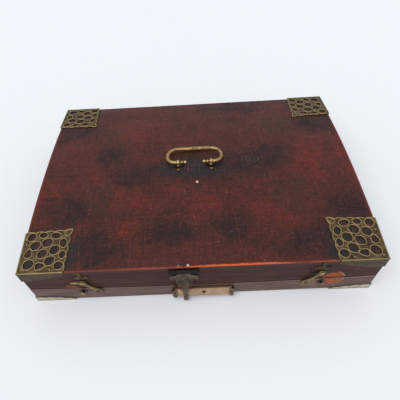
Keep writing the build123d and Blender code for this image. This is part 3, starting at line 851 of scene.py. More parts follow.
@dataclass(frozen=True)
class PaintedFloor(Finish):
    """Matt emulsion rolled on a board: a plain pale ground with a faint roller stipple."""

    name: str = "rolled_matt_paint"
    gloss: float = 0.1
    relief: float = 0.02
    pale: str = "EDEFF2"
    dull: str = "EAEDF0"

    def paint(self, painter: Painter) -> Coat:
        """Draws the pale paint with a stipple too faint to see from afar.

        Args:
            painter: Draws its patterns.

        Returns:
            The sockets of its colour, roughness and relief.
        """
        stipple = painter.grain((3, 3, 3), 2.0)
        colour = painter.laid(self.pale, self.dull, stipple, 0.2, 0.8)
        return Coat(colour, painter.sum((stipple, 1.6)), stipple)


TOP_LACQUER = LidLacquer()
LID_STAIN = WallStain("rubbed_brown_stain_lid")
# The base's walls take a lighter copy of the same stain
BASE_STAIN = WallStain("lighter_brown_stain_base", face="65504A", streak="493834", light="7E655E")
MOUNT_BRASS = Brass(
    metallic=0.7, hollow="33291D", tarnish="57462F", bright="A38D5E", spots="231E17", patchy=0.7,
    base_roughness=0.48,
)
# The feet mirror the ground with a greyed face; their rubbed colour is near black, a painted shadow
# along the tops of their rolled rims
FOOT_BRASS = Brass(
    "greyed_sheet_brass", metallic=0.9, hollow="A2967C", tarnish="CFC4AE", bright="140F0D",
    spots="9C917E", worn=1.6, base_roughness=0.36,
)
BAIL_BRASS = Brass(
    "rubbed_cast_brass", metallic=0.78, hollow="4A351D", tarnish="8F6A3E", bright="C9A873",
    spots="6E5230", base_roughness=0.36,
)
ROSE_BRASS = Brass(
    "darkened_cast_brass", metallic=0.8, hollow="1F1B18", tarnish="332C24", bright="B7A468",
    spots="171412", base_roughness=0.45,
)
DARK_IRON = Brass(
    "wrought_iron_browned", metallic=0.7, hollow="211A16", tarnish="4A3B2F", bright="8E7860",
    spots="181412", worn=0.85, patchy=0.4, base_roughness=0.5,
)
LATCH_METAL = Brass(
    "tarnished_cast_brass", hollow="211B15", tarnish="4A3D2C", bright="A48C5E", spots="191612",
    worn=0.85, patchy=0.6,
)
BRIGHT_STEEL = Brass(
    "filed_steel", metallic=0.6, hollow="6E6656", tarnish="958B76", bright="CFC5AC",
    spots="5B5346", base_roughness=0.4,
)
STRAP_LEATHER = Leather()
RED_CLOTH = LiningCloth()


# Flat outlines


def around(points: Sequence[Flat]) -> Iterator[tuple[Flat, Flat]]:
    """Pairs each point of a closed outline with the next."""
    return zip(points, [*points[1:], points[0]])


def softened(points: Sequence[Flat], rounds: int = 2) -> list[Flat]:
    """Cuts the corners of a closed outline until it is smooth.

    Args:
        points: Its corners.
        rounds: How often each corner is cut.

    Returns:
        The smooth outline.
    """
    for _ in range(rounds):
        points = [
            ((1 - t) * a + t * c, (1 - t) * b + t * d)
            for (a, b), (c, d) in around(points)
            for t in (0.25, 0.75)
        ]
    return list(points)


def through(points: Sequence[Flat], steps: int = 5, closed: bool = True) -> list[Flat]:
    """A smooth line through points.

    Args:
        points: The points it passes.
        steps: How many pieces each stretch gets.
        closed: Whether it comes back to its start.

    Returns:
        The line's points.
    """
    count = len(points)
    line = []
    for k in range(count if closed else count - 1):
        near = [
            Vector(points[(k + j) % count] if closed else points[min(max(k + j, 0), count - 1)])
            for j in (-1, 0, 1, 2)
        ]
        for step in range(steps):
            t = step / steps
            point = 0.5 * (
                2 * near[1]
                + (near[2] - near[0]) * t
                + (2 * near[0] - 5 * near[1] + 4 * near[2] - near[3]) * t**2
                + (3 * near[1] - near[0] - 3 * near[2] + near[3]) * t**3
            )
            line.append((point.x, point.y))
    if not closed:
        line.append(tuple(points[-1]))
    return line


def mirrored(points: Sequence[Flat]) -> list[Flat]:
    """The other half of an outline that is drawn on the right of its middle line."""
    return [(-a, b) for a, b in reversed(points)]


def scalloped(notches: Sequence[Flat], rise: float, steps: int = 6) -> list[Flat]:
    """A row of scallops that bulge to the right of the way they are drawn.

    Args:
        notches: Where the scallops meet.
        rise: How far each bulges.
        steps: How many pieces each gets.

    Returns:
        The row's points, from the first notch to the last.
    """
    line = [notches[0]]
    for (a, b), (c, d) in zip(notches, notches[1:]):
        length = math.hypot(c - a, d - b)
        out = ((d - b) / length, (a - c) / length)
        for step in range(1, steps + 1):
            t = step / steps
            swell = rise * (1 - (2 * t - 1) ** 2)
            line.append((a + (c - a) * t + out[0] * swell, b + (d - b) * t + out[1] * swell))
    return line


def wound(loop: Sequence[Flat], turn: int) -> list[Flat]:
    """A closed outline that runs anticlockwise (turn 1) or clockwise (turn -1)."""
    area = sum(a * d - b * c for (a, b), (c, d) in around(loop))
    return list(loop) if area * turn > 0 else list(reversed(loop))


def shifted(loop: Sequence[Flat], distance: float, closed: bool = True) -> list[Flat]:
    """Moves an outline to its left.

    Args:
        loop: The outline.
        distance: How far.
        closed: Whether its last point joins its first.

    Returns:
        The moved outline.
    """
    count = len(loop)
    moved = []
    for k, here in enumerate(loop):
        before = loop[(k - 1) % count] if closed else loop[max(k - 1, 0)]
        after = loop[(k + 1) % count] if closed else loop[min(k + 1, count - 1)]
        way = Vector((after[0] - before[0], after[1] - before[1]))
        if way.length < 1e-9:
            moved.append(here)
            continue
        way.normalize()
        moved.append((here[0] - way.y * distance, here[1] + way.x * distance))
    return moved


def raised(place: Placer, by: float) -> Placer:
    """The same placer, with its heights counted from further up."""
    return lambda a, b, h: place(a, b, by + h)


def ring(radius: float, centre: Flat = (0.0, 0.0), sides: int = 24) -> list[Flat]:
    """A circle as a closed outline.

    Args:
        radius: Its radius.
        centre: Its centre.
        sides: How many sides it gets.

    Returns:
        Its points, anticlockwise from the right.
    """
    turns = [math.tau * k / sides for k in range(sides)]
    return [
        (centre[0] + radius * math.cos(turn), centre[1] + radius * math.sin(turn))
        for turn in turns
    ]


# Meshes

# Points of a drawn mesh, and of a copied one, that are nearer than this are one, in millimetres
MERGED = 0.004
MERGED_COPY = 0.002
# Edges sharper than these angles, in degrees, stay sharp, are rounded, or mark a flat face's end
KEPT_SHARP = 52.0
ROUNDED = 32.0
FLAT = 1.0


@dataclass
class Shell:
    """A mesh in the making, in millimetres, with how rubbed each of its points is."""

    points: list[Vector] = field(default_factory=list)
    faces: list[tuple[int, ...]] = field(default_factory=list)
    wear: list[float] = field(default_factory=list)

    def loft(
        self,
        rings: Sequence[Sequence[Vector]],
        wear: float | Sequence[float] = 0.0,
        looped: bool = False,
    ) -> None:
        """Skins a row of closed rings and caps its ends.

        Args:
            rings: The rings, each with the same number of points.
            wear: How rubbed it is, or how rubbed each ring is.
            looped: Whether the last ring joins the first.
        """
        start, sides, count = len(self.points), len(rings[0]), len(rings)
        for k, points in enumerate(rings):
            self.points.extend(points)
            self.wear.extend([wear[k] if isinstance(wear, Sequence) else wear] * sides)
        for i in range(count if looped else count - 1):
            here, there = start + i * sides, start + ((i + 1) % count) * sides
            for j in range(sides):
                k = (j + 1) % sides
                self.faces.append((here + j, here + k, there + k, there + j))
        if not looped:
            last = start + (count - 1) * sides
            self.faces.append(tuple(start + j for j in reversed(range(sides))))
            self.faces.append(tuple(last + j for j in range(sides)))

    def plate(
        self,
        outline: Sequence[Flat],
        place: Placer,
        depth: float,
        holes: Sequence[Sequence[Flat]] = (),
        edge: float = 0.25,
        wear: Flat = (0.1, 0.75),
        cuts: Sequence[float] = (),
    ) -> None:
        """A flat plate with rounded upper edges.

        Args:
            outline: Its outer line.
            place: Puts a point of the plate, at a height above its foot, in the frame.
            depth: Its thickness.
            holes: The lines of its openings.
            edge: How wide the rounding is.
            wear: How rubbed its face and its edges are.
            cuts: Places along the second axis where it may bend.
        """
        mesh = bmesh.new()
        layer = mesh.verts.layers.float.new("wear")
        loops = [wound(outline, 1), *[wound(hole, -1) for hole in holes]]
        levels = [
            (0.0, 0.0, wear[0]), (0.0, depth - edge, wear[1]),
            (0.3 * edge, depth - 0.3 * edge, wear[1]), (edge, depth, 0.5 * sum(wear)),
        ]
        rows = []
        for inset, height, rubbed in levels:
            row = []
            for loop in loops:
                made = [mesh.verts.new((a, b, height)) for a, b in shifted(loop, inset)]
                for vert in made:
                    vert[layer] = rubbed
                row.append(made)
            rows.append(row)
        for low, high in zip(rows, rows[1:]):
            for first, second in zip(low, high):
                for k in range(len(first)):
                    n = (k + 1) % len(first)
                    mesh.faces.new((first[k], first[n], second[n], second[k]))
        for row in (rows[0], rows[-1]):
            flat = [vert for made in row for vert in made]
            for corners in tessellate_polygon([[vert.co for vert in made] for made in row]):
                if len(set(corners)) == 3:
                    try:
                        mesh.faces.new([flat[k] for k in corners])
                    except ValueError:
                        continue
        for cut in cuts:
            bmesh.ops.bisect_plane(
                mesh, geom=[*mesh.verts, *mesh.edges, *mesh.faces], plane_co=(0, cut, 0),
                plane_no=(0, 1, 0),
            )
        self.take(mesh, layer, place)

    def take(
        self, mesh: bmesh.types.BMesh, layer: bmesh.types.BMLayerItem, place: Placer
    ) -> None:
        """Takes over a drawn mesh and frees it.

        Args:
            mesh: The mesh, in the plate's own measures.
            layer: Its wear layer.
            place: Puts each point in the frame.
        """
        start = len(self.points)
        mesh.verts.index_update()
        for vert in mesh.verts:
            self.points.append(place(*vert.co))
            self.wear.append(vert[layer])
        for face in mesh.faces:
            self.faces.append(tuple(start + vert.index for vert in face.verts))
        mesh.free()

    def bead(
        self,
        loop: Sequence[Flat],
        place: Placer,
        width: float,
        height: float,
        wear: float = 1.0,
        closed: bool = True,
    ) -> None:
        """A raised half-round line on a plate.

        Args:
            loop: The line it follows.
            place: Puts a point, at a height above the plate, in the frame.
            width: Its width.
            height: Its height.
            wear: How rubbed it is.
            closed: Whether it joins itself.
        """
        section = [
            (-0.5, -0.5), (-0.5, 0.35), (-0.28, 0.85), (0.0, 1.0), (0.28, 0.85), (0.5, 0.35),
            (0.5, -0.5),
        ]
        lines = [shifted(loop, across * width, closed) for across, _ in section]
        rings = [
            [place(*lines[j][k], section[j][1] * height) for j in range(len(section))]
            for k in range(len(loop))
        ]
        self.loft(rings, wear, looped=closed)

    def turned(
        self,
        profile: Sequence[Flat],
        base: Spot,
        axis: Spot,
        sides: int = 24,
        wear: float | Sequence[float] = 0.5,
    ) -> None:
        """A piece turned on a lathe.

        Args:
            profile: Pairs of distance along the axis and radius.
            base: Where the axis starts.
            axis: Its direction.
            sides: How many sides each ring gets.
            wear: How rubbed it is, or how rubbed each ring is.
        """
        along = Vector(axis).normalized()
        across = along.orthogonal().normalized()
        third = along.cross(across)
        rings = [
            [
                Vector(base) + along * way + across * a + third * b
                for a, b in ring(max(radius, 0.02), sides=sides)
            ]
            for way, radius in profile
        ]
        self.loft(rings, wear)

    def tube(
        self,
        path: Sequence[Vector],
        radii: Sequence[float],
        sides: int = 16,
        wear: float | Sequence[float] = 0.5,
        flat: float = 1.0,
        broad: Vector | None = None,
    ) -> None:
        """A round or flattened bar along a path.

        Args:
            path: The path's points.
            radii: The bar's radius at each.
            sides: How many sides it gets.
            wear: How rubbed it is, or how rubbed it is at each point.
            flat: Its thickness as a share of its width.
            broad: The way of its width, where it is flattened.
        """
        rings = []
        across = broad
        for k, here in enumerate(path):
            way = (path[min(k + 1, len(path) - 1)] - path[max(k - 1, 0)]).normalized()
            across = way.orthogonal() if across is None else across - way * across.dot(way)
            across = across.normalized()
            third = way.cross(across)
            rings.append(
                [
                    here + across * (radii[k] * a) + third * (radii[k] * b * flat)
                    for a, b in ring(1.0, sides=sides)
                ]
            )
        self.loft(rings, wear)

    def block(self, size: Spot, place: Placer, edge: float = 0.3, wear: float = 0.3) -> None:
        """A squared piece with rounded edges, centred on its own zero.

        Args:
            size: Its three sizes.
            place: Puts its points in the frame.
            edge: The rounding.
            wear: How rubbed it is.
        """
        half = [side / 2 for side in size]
        corner = [(math.cos(t), math.sin(t)) for t in (0, math.pi / 4, math.pi / 2)]
        rings = []
        low = [(edge, 0.0), (0.3 * edge, 0.3 * edge), (0.0, edge)]
        levels = [(inset, way * (half[2] - drop)) for way in (-1, 1) for inset, drop in low[::-way]]
        for inset, height in levels:
            points = []
            for turn in range(4):
                cos, sin = round(math.cos(turn * math.pi / 2)), round(math.sin(turn * math.pi / 2))
                for c, s in corner:
                    a = (half[0] if turn % 2 == 0 else half[1]) - edge + c * edge - inset * c
                    b = (half[1] if turn % 2 == 0 else half[0]) - edge + s * edge - inset * s
                    points.append(place(a * cos - b * sin, a * sin + b * cos, height))
            rings.append(points)
        self.loft(rings, wear)

    def slab(
        self,
        across: Sequence[float],
        along: Sequence[float],
        top: Callable[[float, float], Vector],
        bottom: Callable[[float, float], Vector],
        wear: Callable[[float, float], float] = lambda a, b: 0.0,
    ) -> None:
        """A closed slab between an upper and a lower surface.

        Args:
            across: The stations of its grid along the first axis.
            along: The stations along the second axis.
            top: Its upper surface.
            bottom: Its lower surface.
            wear: How rubbed each place is.
        """
        start, rows, columns = len(self.points), len(along), len(across)
        size = rows * columns
        for surface in (top, bottom):
            for b in along:
                for a in across:
                    self.points.append(surface(a, b))
                    self.wear.append(wear(a, b))
        for j in range(rows - 1):
            for i in range(columns - 1):
                k = start + j * columns + i
                quad = (k, k + 1, k + columns + 1, k + columns)
                self.faces.append(quad)
                self.faces.append(tuple(v + size for v in reversed(quad)))
        border = [
            *range(columns - 1),
            *[j * columns + columns - 1 for j in range(rows - 1)],
            *[(rows - 1) * columns + i for i in range(columns - 1, 0, -1)],
            *[j * columns for j in range(rows - 1, 0, -1)],
        ]
        for first, second in zip(border, [*border[1:], border[0]]):
            a, b = start + first, start + second
            self.faces.append((b, a, a + size, b + size))

    def piece(
        self, name: str, finish: Finish, body: Body, replaces: Sequence[str] = ()
    ) -> bpy.types.Object:
        """Makes the mesh's object, dresses it and lets it ride.

        Args:
            name: The piece's name.
            finish: Its finish.
            body: The body it rides on.
            replaces: The CAD nodes that it stands for.

        Returns:
            The object.
        """
        mesh = bpy.data.meshes.new(name)
        mesh.from_pydata([point * MM for point in self.points], [], self.faces)
        worn = mesh.attributes.new("wear", "FLOAT", "POINT")
        worn.data.foreach_set("value", self.wear)
        tidy = bmesh.new()
        tidy.from_mesh(mesh)
        bmesh.ops.remove_doubles(tidy, verts=tidy.verts, dist=MERGED * MM)
        bmesh.ops.recalc_face_normals(tidy, faces=tidy.faces)
        tidy.to_mesh(mesh)
        tidy.free()
        return settle(name, mesh, finish, body, replaces)


def settle(
    name: str,
    mesh: bpy.types.Mesh,
    finish: Finish,
    body: Body,
    replaces: Sequence[str] = (),
    edge: float = 0.0,
) -> bpy.types.Object:
    """Smooths a mesh, gives it its finish and lets it ride.

    Args:
        name: The piece's name.
        mesh: Its mesh, in metres.
        finish: Its finish.
        body: The body it rides on.
        replaces: The CAD nodes that it stands for.
        edge: How wide its sharp edges are rounded, in millimetres.

    Returns:
        The object.
    """
    mesh.shade_smooth()
    made = bpy.data.objects.new(name, mesh)
    bpy.context.scene.collection.objects.link(made)
    if edge:
        bevel = made.modifiers.new("Rounding", "BEVEL")
        bevel.width = edge * MM
        bevel.segments = 2
        bevel.limit_method = "ANGLE"
        bevel.angle_limit = math.radians(ROUNDED)
    else:
        mesh.set_sharp_from_angle(angle=math.radians(KEPT_SHARP))
    even = made.modifiers.new("Even", "WEIGHTED_NORMAL")
    even.weight = 60
    even.keep_sharp = True
    shaped = bpy.data.meshes.new_from_object(
        made.evaluated_get(bpy.context.evaluated_depsgraph_get())
    )
    made.modifiers.clear()
    made.data = shaped
    shaped.name = name
    shaped.materials.clear()
    shaped.materials.append(finish.material())
    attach(made, body.value)
    if replaces:
        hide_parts(*replaces)
    log.info("%s rides on %s", name, body.value)
    return made


def eased(node: str, finish: Finish, body: Body, edge: float) -> bpy.types.Object:
    """Stands in for a CAD node with the same shape, its sharp edges rounded.

    Args:
        node: The CAD node.
        finish: The piece's finish.
        body: The body it rides on.
        edge: How wide the edges are rounded, in millimetres.

    Returns:
        The object.
    """
    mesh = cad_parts[node].data.copy()
    mesh.materials.clear()
    drawn = bmesh.new()
    drawn.from_mesh(mesh)
    bmesh.ops.remove_doubles(drawn, verts=drawn.verts, dist=MERGED_COPY * MM)
    bmesh.ops.dissolve_limit(
        drawn, angle_limit=math.radians(FLAT), verts=drawn.verts, edges=drawn.edges
    )
    drawn.to_mesh(mesh)
    drawn.free()
    mesh.attributes.new("wear", "FLOAT", "POINT")
    return settle(f"eased_{node}", mesh, finish, body, [node], edge)


# The case


@dataclass(frozen=True)
class CaseSize:
    """The sizes that several sub-assemblies share."""

    half_width: float = 200.0
    half_depth: float = 149.0
    edge_z: float = 64.3
    crown_rise: float = 9.0
    underside_z: float = 1.0
    panel: float = 6.0
    rail: float = 9.0
    lining: float = 0.8
    edge_round: float = 1.2
    seat: float = 28.0

    @property
    def crown_radius(self) -> float:
        """Radius of the crowned lid."""
        return (self.half_depth**2 + self.crown_rise**2) / (2 * self.crown_rise)

    def crown_z(self, y: float) -> float:
        """Height of the crowned top at a distance from its middle."""
        drop = self.crown_radius - math.sqrt(self.crown_radius**2 - y**2)
        return self.edge_z + self.crown_rise - drop

    def seat_z(self, s: float) -> float:
        """Height of a flat mount's underside at a distance from the front or back."""
        touch = self.half_depth - self.seat
        height = self.crown_z(touch)
        slope = touch / (height - self.edge_z - self.crown_rise + self.crown_radius)
        return height + (s - self.seat) * slope

    def in_front(self, gap: float = 0.0) -> Placer:
        """A placer for what is drawn on the front: across, up, and off a gap before it."""
        return lambda a, b, h: Vector((a, -self.half_depth - gap - h, b))


CASE = CaseSize()


@dataclass
class Boards:
    """The wooden case: a crowned lid panel, walls, a bottom board and cloth linings."""

    step: float = 7.0
    wave: float = 0.12
    wave_pitch: Flat = (70.0, 55.0)
    lining_margin: float = 0.5
    lining_edge: float = 0.5
    lining_gap: float = 0.1
    pucker_rise: float = 0.25
    wall_edge: float = 0.7
    bottom_edge: float = 1.0

    def stations(self, half: float, edge: float) -> list[float]:
        """Grid stations from edge to edge, close together where the rounding is."""
        inner = half - edge
        count = max(2, round(2 * inner / self.step))
        rim = [half - edge * share for share in (0.6, 0.3, 0.1, 0.0)]
        middle = [-inner + 2 * inner * k / count for k in range(count + 1)]
        return [-r for r in reversed(rim)] + middle + rim

    def rounding(self, a: float, b: float, half: Flat, edge: float) -> float:
        """How far a rounded edge has dropped at a place of a board."""
        past = [max(0.0, abs(place) - limit + edge) for place, limit in zip((a, b), half)]
        over = math.hypot(*past)
        return edge - math.sqrt(max(0.0, edge**2 - min(over, edge) ** 2))

    def panel(self) -> None:
        """The lid's crowned top board, its face a little wavy with age."""
        half = (CASE.half_width, CASE.half_depth)
        wide, deep = self.wave_pitch

        def top(x: float, y: float) -> Vector:
            """The board's upper face at a place."""
            wave = self.wave * (noise.noise(Vector((x / wide, y / deep, 0.3))) - 0.45)
            drop = self.rounding(x, y, half, CASE.edge_round)
            return Vector((x, y, CASE.crown_z(y) + min(wave, 0.0) - drop))

        shell = Shell()
        stations = [self.stations(side, CASE.edge_round) for side in half]
        shell.slab(*stations, top, lambda x, y: Vector((x, y, CASE.crown_z(y) - CASE.panel)))
        shell.piece("lid_board", TOP_LACQUER, Body.LID, ["lid_panel"])

    def walls(self) -> None:
        """The walls and the bottom board, their edges softened by use."""
        for part, body, finish in (("lid", Body.LID, LID_STAIN), ("base", Body.BASE, BASE_STAIN)):
            for wall in ("front", "back", "left", "right"):
                eased(f"{part}_{wall}_wall", finish, body, self.wall_edge)
        eased("base_panel", BASE_STAIN, Body.BASE, self.bottom_edge)

    def linings(self) -> None:
        """The cloth linings, pasted down with a few soft puckers."""
        less = CASE.rail + self.lining_margin
        half = (CASE.half_width - less, CASE.half_depth - less)
        stations = [self.stations(side, self.lining_edge) for side in half]
        floor = CASE.underside_z + CASE.panel
        under = CASE.panel + self.lining_gap

        def face(x: float, y: float, share: float) -> float:
            """How thick the cloth is at a place, with a share of its puckers."""
            broad = noise.noise(Vector((x / 26, y / 60, 4.0)))
            small = noise.noise(Vector((x / 9, y / 14, 8.0)))
            pucker = self.pucker_rise * max(0.0, broad + small / 3)
            return CASE.lining + share * pucker - self.rounding(x, y, half, self.lining_edge)

        base = Shell()
        base.slab(
            *stations,
            lambda x, y: Vector((x, y, floor + face(x, y, 1.0))),
            lambda x, y: Vector((x, y, floor)),
        )
        base.piece("base_cloth", RED_CLOTH, Body.BASE, ["base_lining"])
        lid = Shell()
        lid.slab(
            *stations,
            lambda x, y: Vector((x, y, CASE.crown_z(y) - under)),
            lambda x, y: Vector((x, y, CASE.crown_z(y) - under - face(x, y, 0.6))),
        )
        lid.piece("lid_cloth", RED_CLOTH, Body.LID, ["lid_lining"])

    def build(self) -> None:
        """Builds the boards, the walls and the linings."""
        self.panel()
        self.walls()
        self.linings()


@dataclass
class CornerMounts:
    """The eight sheet mounts: pierced strapwork on the lid, plain feet on the base."""

    sheet: float = 1.0
    leg: float = 50.5
    flare: float = 1.8
    pitch: float = 11.2
    count: int = 4
    rise: float = 1.4
    leaf: float = 54.5
    leaf_swell: float = 1.0
    skirt: float = 14.8
    skirt_end: float = 4.0
    foot_leg: float = 47.0
    foot: float = 9.0
    foot_end: float = 2.5
    foot_clip: float = 16.0
    fold_lap: float = 0.75
    # Width of each kind of rolled rim, and how rubbed it is; on the feet the rubbed colour is near
    # black, a painted shadow line along the rims
    skirt_rim: Flat = (0.9, 0.4)
    foot_shade_rim: Flat = (1.9, 2.4)
    step: float = 13.4
    bead_width: float = 0.95
    bead_height: float = 0.42
    # How far the beads lie from the openings and from the plate's outline
    bead_inset: float = 0.52
    rim_inset: float = 0.85
    rivet: float = 1.0
    rivets: Sequence[Flat] = ((4.4, 4.4), (3.4, 35.6), (35.6, 3.4))
    skirt_sheet: float = 0.78
    # Place in steps, length and width in steps, the way it points, and its corners
    openings: Sequence[tuple[float, float, float, float, float, int]] = (
        (0.80, 0.76, 1.02, 0.94, 45, 6), (1.78, 1.72, 1.20, 1.02, 45, 4),
        (0.60, 1.76, 1.42, 1.00, 82, 3), (1.04, 2.50, 1.22, 1.06, 45, 4),
        (2.04, 2.76, 1.06, 0.98, 20, 5), (0.60, 3.34, 0.86, 0.82, 90, 6),
        (1.58, 3.50, 0.92, 0.74, 0, 4), (2.68, 3.42, 0.96, 0.66, -14, 6),
    )

    def opening(
        self, along: float, across: float, length: float, width: float, turn: float, corners: int
    ) -> list[Flat]:
        """The smooth outline of one opening.

        Args:
            along: Its place along one face, in steps of the pattern.
            across: Its place along the other face.
            length: Its length, in steps.
            width: Its width, in steps.
            turn: The way it points, in degrees.
            corners: How many corners it was cut from.

        Returns:
            The outline, in millimetres from the two faces.
        """
        cos, sin = math.cos(math.radians(turn)), math.sin(math.radians(turn))
        points = []
        for a, b in ring(0.5, sides=corners):
            reach, spread = a * length, b * width
            here = (along + reach * cos - spread * sin, across + reach * sin + spread * cos)
            points.append((here[0] * self.step, here[1] * self.step))
        return softened(points)

    def pattern(self) -> list[list[Flat]]:
        """All openings of one mount, on both sides of its mitre line."""
        made = []
        for row in self.openings:
            shape = self.opening(*row)
            made.append(shape)
            if row[0] < row[1] - 0.2:
                made.append([(b, a) for a, b in shape])
        return made

    def plan(self) -> list[Flat]:
        """The outline of a pierced plate, from the corner of the case."""
        notches = [
            (self.leg + self.flare * k / self.count, -self.sheet if k == 0 else k * self.pitch)
            for k in range(self.count + 1)
        ]
        other = [(b, a) for a, b in reversed(notches)]
        line = [(-self.sheet, -self.sheet)]
        line += scalloped(notches, self.rise)
        line += scalloped([notches[-1], (self.leaf, self.leaf), other[0]], self.leaf_swell)[1:]
        line += scalloped(other, self.rise)[1:]
        return line

    def skirt_line(
        self, top: Callable[[float], float], depth: float, end: float, leg: float
    ) -> list[Flat]:
        """The scalloped lower (or upper) edge of a skirt.

        Args:
            top: Height of the edge it hangs from, at a distance from the corner.
            depth: How deep it is at the corner; a negative depth stands up.
            end: How deep it is at its end.
            leg: Its length.

        Returns:
            The edge's points, bulging away from the fold.
        """
        side = 1 if depth > 0 else -1
        fall = abs(depth) - end
        notches = []
        for k in range(self.count + 1):
            s = leg * k / self.count
            drop = abs(depth) - fall * (s / leg) ** 2
            notches.append((s if k else -self.sheet, top(s) - side * drop))
        return scalloped(notches if side > 0 else notches[::-1], self.rise)

    def skirt_pieces(
        self, shell: Shell, edge: Sequence[Flat], fold: Sequence[Flat], place: Placer, rim: Flat
    ) -> None:
        """Adds one skirt with a raised rim along its scallops.

        Args:
            shell: The mount's mesh.
            edge: The skirt's scalloped edge.
            fold: The two ends of its fold, that close the outline.
            place: Puts a point of the skirt in the frame.
            rim: Width of its rolled rim, and how rubbed that is; on the feet, how strong its
                painted shadow line is.
        """
        width, rubbed = rim
        # A plate's face takes the mean of the two values, so that only its edge is rubbed; on the
        # feet that edge takes painted shadow
        wear = (0.45 - rubbed, rubbed)
        shell.plate([*edge, *fold], place, self.skirt_sheet, edge=0.2, wear=wear)
        line = shifted(edge, width / 2 + 0.3, closed=False)
        shell.bead(line, raised(place, self.skirt_sheet), width, 0.2, rubbed, closed=False)

    def upright(self, x: Side, y: int) -> tuple[Placer, Placer]:
        """Placers for the two upright faces at a corner of the case.

        Args:
            x: The end of the case.
            y: The front (-1) or the back (1).

        Returns:
            One for the front or back and one for the end. Each takes the distance from
            the corner, the height in the frame, and how far it is off the face.
        """
        return (
            lambda a, b, h: Vector((x.value * (CASE.half_width - a), y * (CASE.half_depth + h), b)),
            lambda a, b, h: Vector((x.value * (CASE.half_width + h), y * (CASE.half_depth - a), b)),
        )

    def lid_mount(self, x: Side, y: int) -> None:
        """Builds one pierced mount.

        Args:
            x: The end of the case.
            y: The front (-1) or the back (1).
        """
        shell = Shell()
        ahead, beside = self.upright(x, y)

        def on_plate(a: float, b: float, h: float) -> Vector:
            """A point by its distances from the two faces and its height off the seat."""
            return ahead(a, CASE.seat_z(b) + h, -b)

        above = raised(on_plate, self.sheet)
        plan, pattern = self.plan(), self.pattern()
        shell.plate(plan, on_plate, self.sheet, pattern, edge=0.3, wear=(0.12, 0.55))
        for hole in pattern:
            line = shifted(wound(hole, -1), self.bead_inset)
            shell.bead(line, above, self.bead_width, self.bead_height, 0.95)
        rim = shifted(wound(plan, 1), self.rim_inset)
        edge = [point for point in rim if min(point) > 1.2]
        shell.bead(edge, above, self.bead_width, self.bead_height, 0.9, closed=False)
        leaf = [(46.4, 46.4), (49.6, 45.4), (52.6, 48.6), (53.2, 53.2), (48.6, 52.6), (45.4, 49.6)]
        shell.bead(through(leaf), above, 0.9, self.bead_height, 1.0)
        r = self.rivet
        head = [(0, r), (0.3, r), (0.6, 0.6 * r), (0.7, 0.02)]
        for a, b in self.rivets:
            shell.turned(head, tuple(above(a, b, -0.1)), UP, 12, 0.9)
        for place, top in ((ahead, lambda s: CASE.seat_z(0)), (beside, CASE.seat_z)):
            edge = self.skirt_line(top, self.skirt, self.skirt_end, self.leg)
            fold = [(self.leg, top(self.leg) + 0.4), (-self.fold_lap, top(0) + 0.4)]
            self.skirt_pieces(shell, edge, fold, place, self.skirt_rim)
        # The fold is rubbed to a bright line
        stations = [self.leg - 0.4, 38.0, 25.0, 12.0, 3.0]
        path = [ahead(s, CASE.seat_z(0) + 0.5, 0.3) for s in stations]
        path.append(ahead(-0.1, CASE.seat_z(0) + 0.5, 0.1))
        path += [beside(s, CASE.seat_z(s) + 0.5, 0.3) for s in reversed(stations)]
        shell.tube(path, [0.68] * len(path), 10, 1.0)
        name = f"{'front' if y < 0 else 'back'}_{x.word}"
        shell.piece(
            f"pierced_mount_{name}", MOUNT_BRASS, Body.LID, [f"lid_corner_{name}"]
        )

    def base_mount(self, x: Side, y: int) -> None:
        """Builds one plain mount with standing skirts.

        Args:
            x: The end of the case.
            y: The front (-1) or the back (1).
        """
        shell = Shell()
        ahead, beside = self.upright(x, y)
        reach, clip, lap = self.foot_leg, self.foot_leg - self.foot_clip, -self.sheet
        outline = [(lap, lap), (reach, lap), (reach, clip), (clip, reach), (lap, reach)]
        shell.plate(outline, lambda a, b, h: ahead(a, self.sheet - h, -b), self.sheet)
        edge = self.skirt_line(lambda s: self.sheet, -self.foot, self.foot_end, reach)
        fold = [(-self.fold_lap, 0.3), (reach, 0.3)]
        for place in (ahead, beside):
            self.skirt_pieces(shell, edge, fold, place, self.foot_shade_rim)
        name = f"{'front' if y < 0 else 'back'}_{x.word}"
        shell.piece(
            f"foot_mount_{name}", FOOT_BRASS, Body.BASE, [f"base_corner_{name}"]
        )

    def build(self) -> None:
        """Builds the four mounts of the lid and the four of the base."""
        for x in Side:
            for y in (-1, 1):
                self.lid_mount(x, y)
                self.base_mount(x, y)


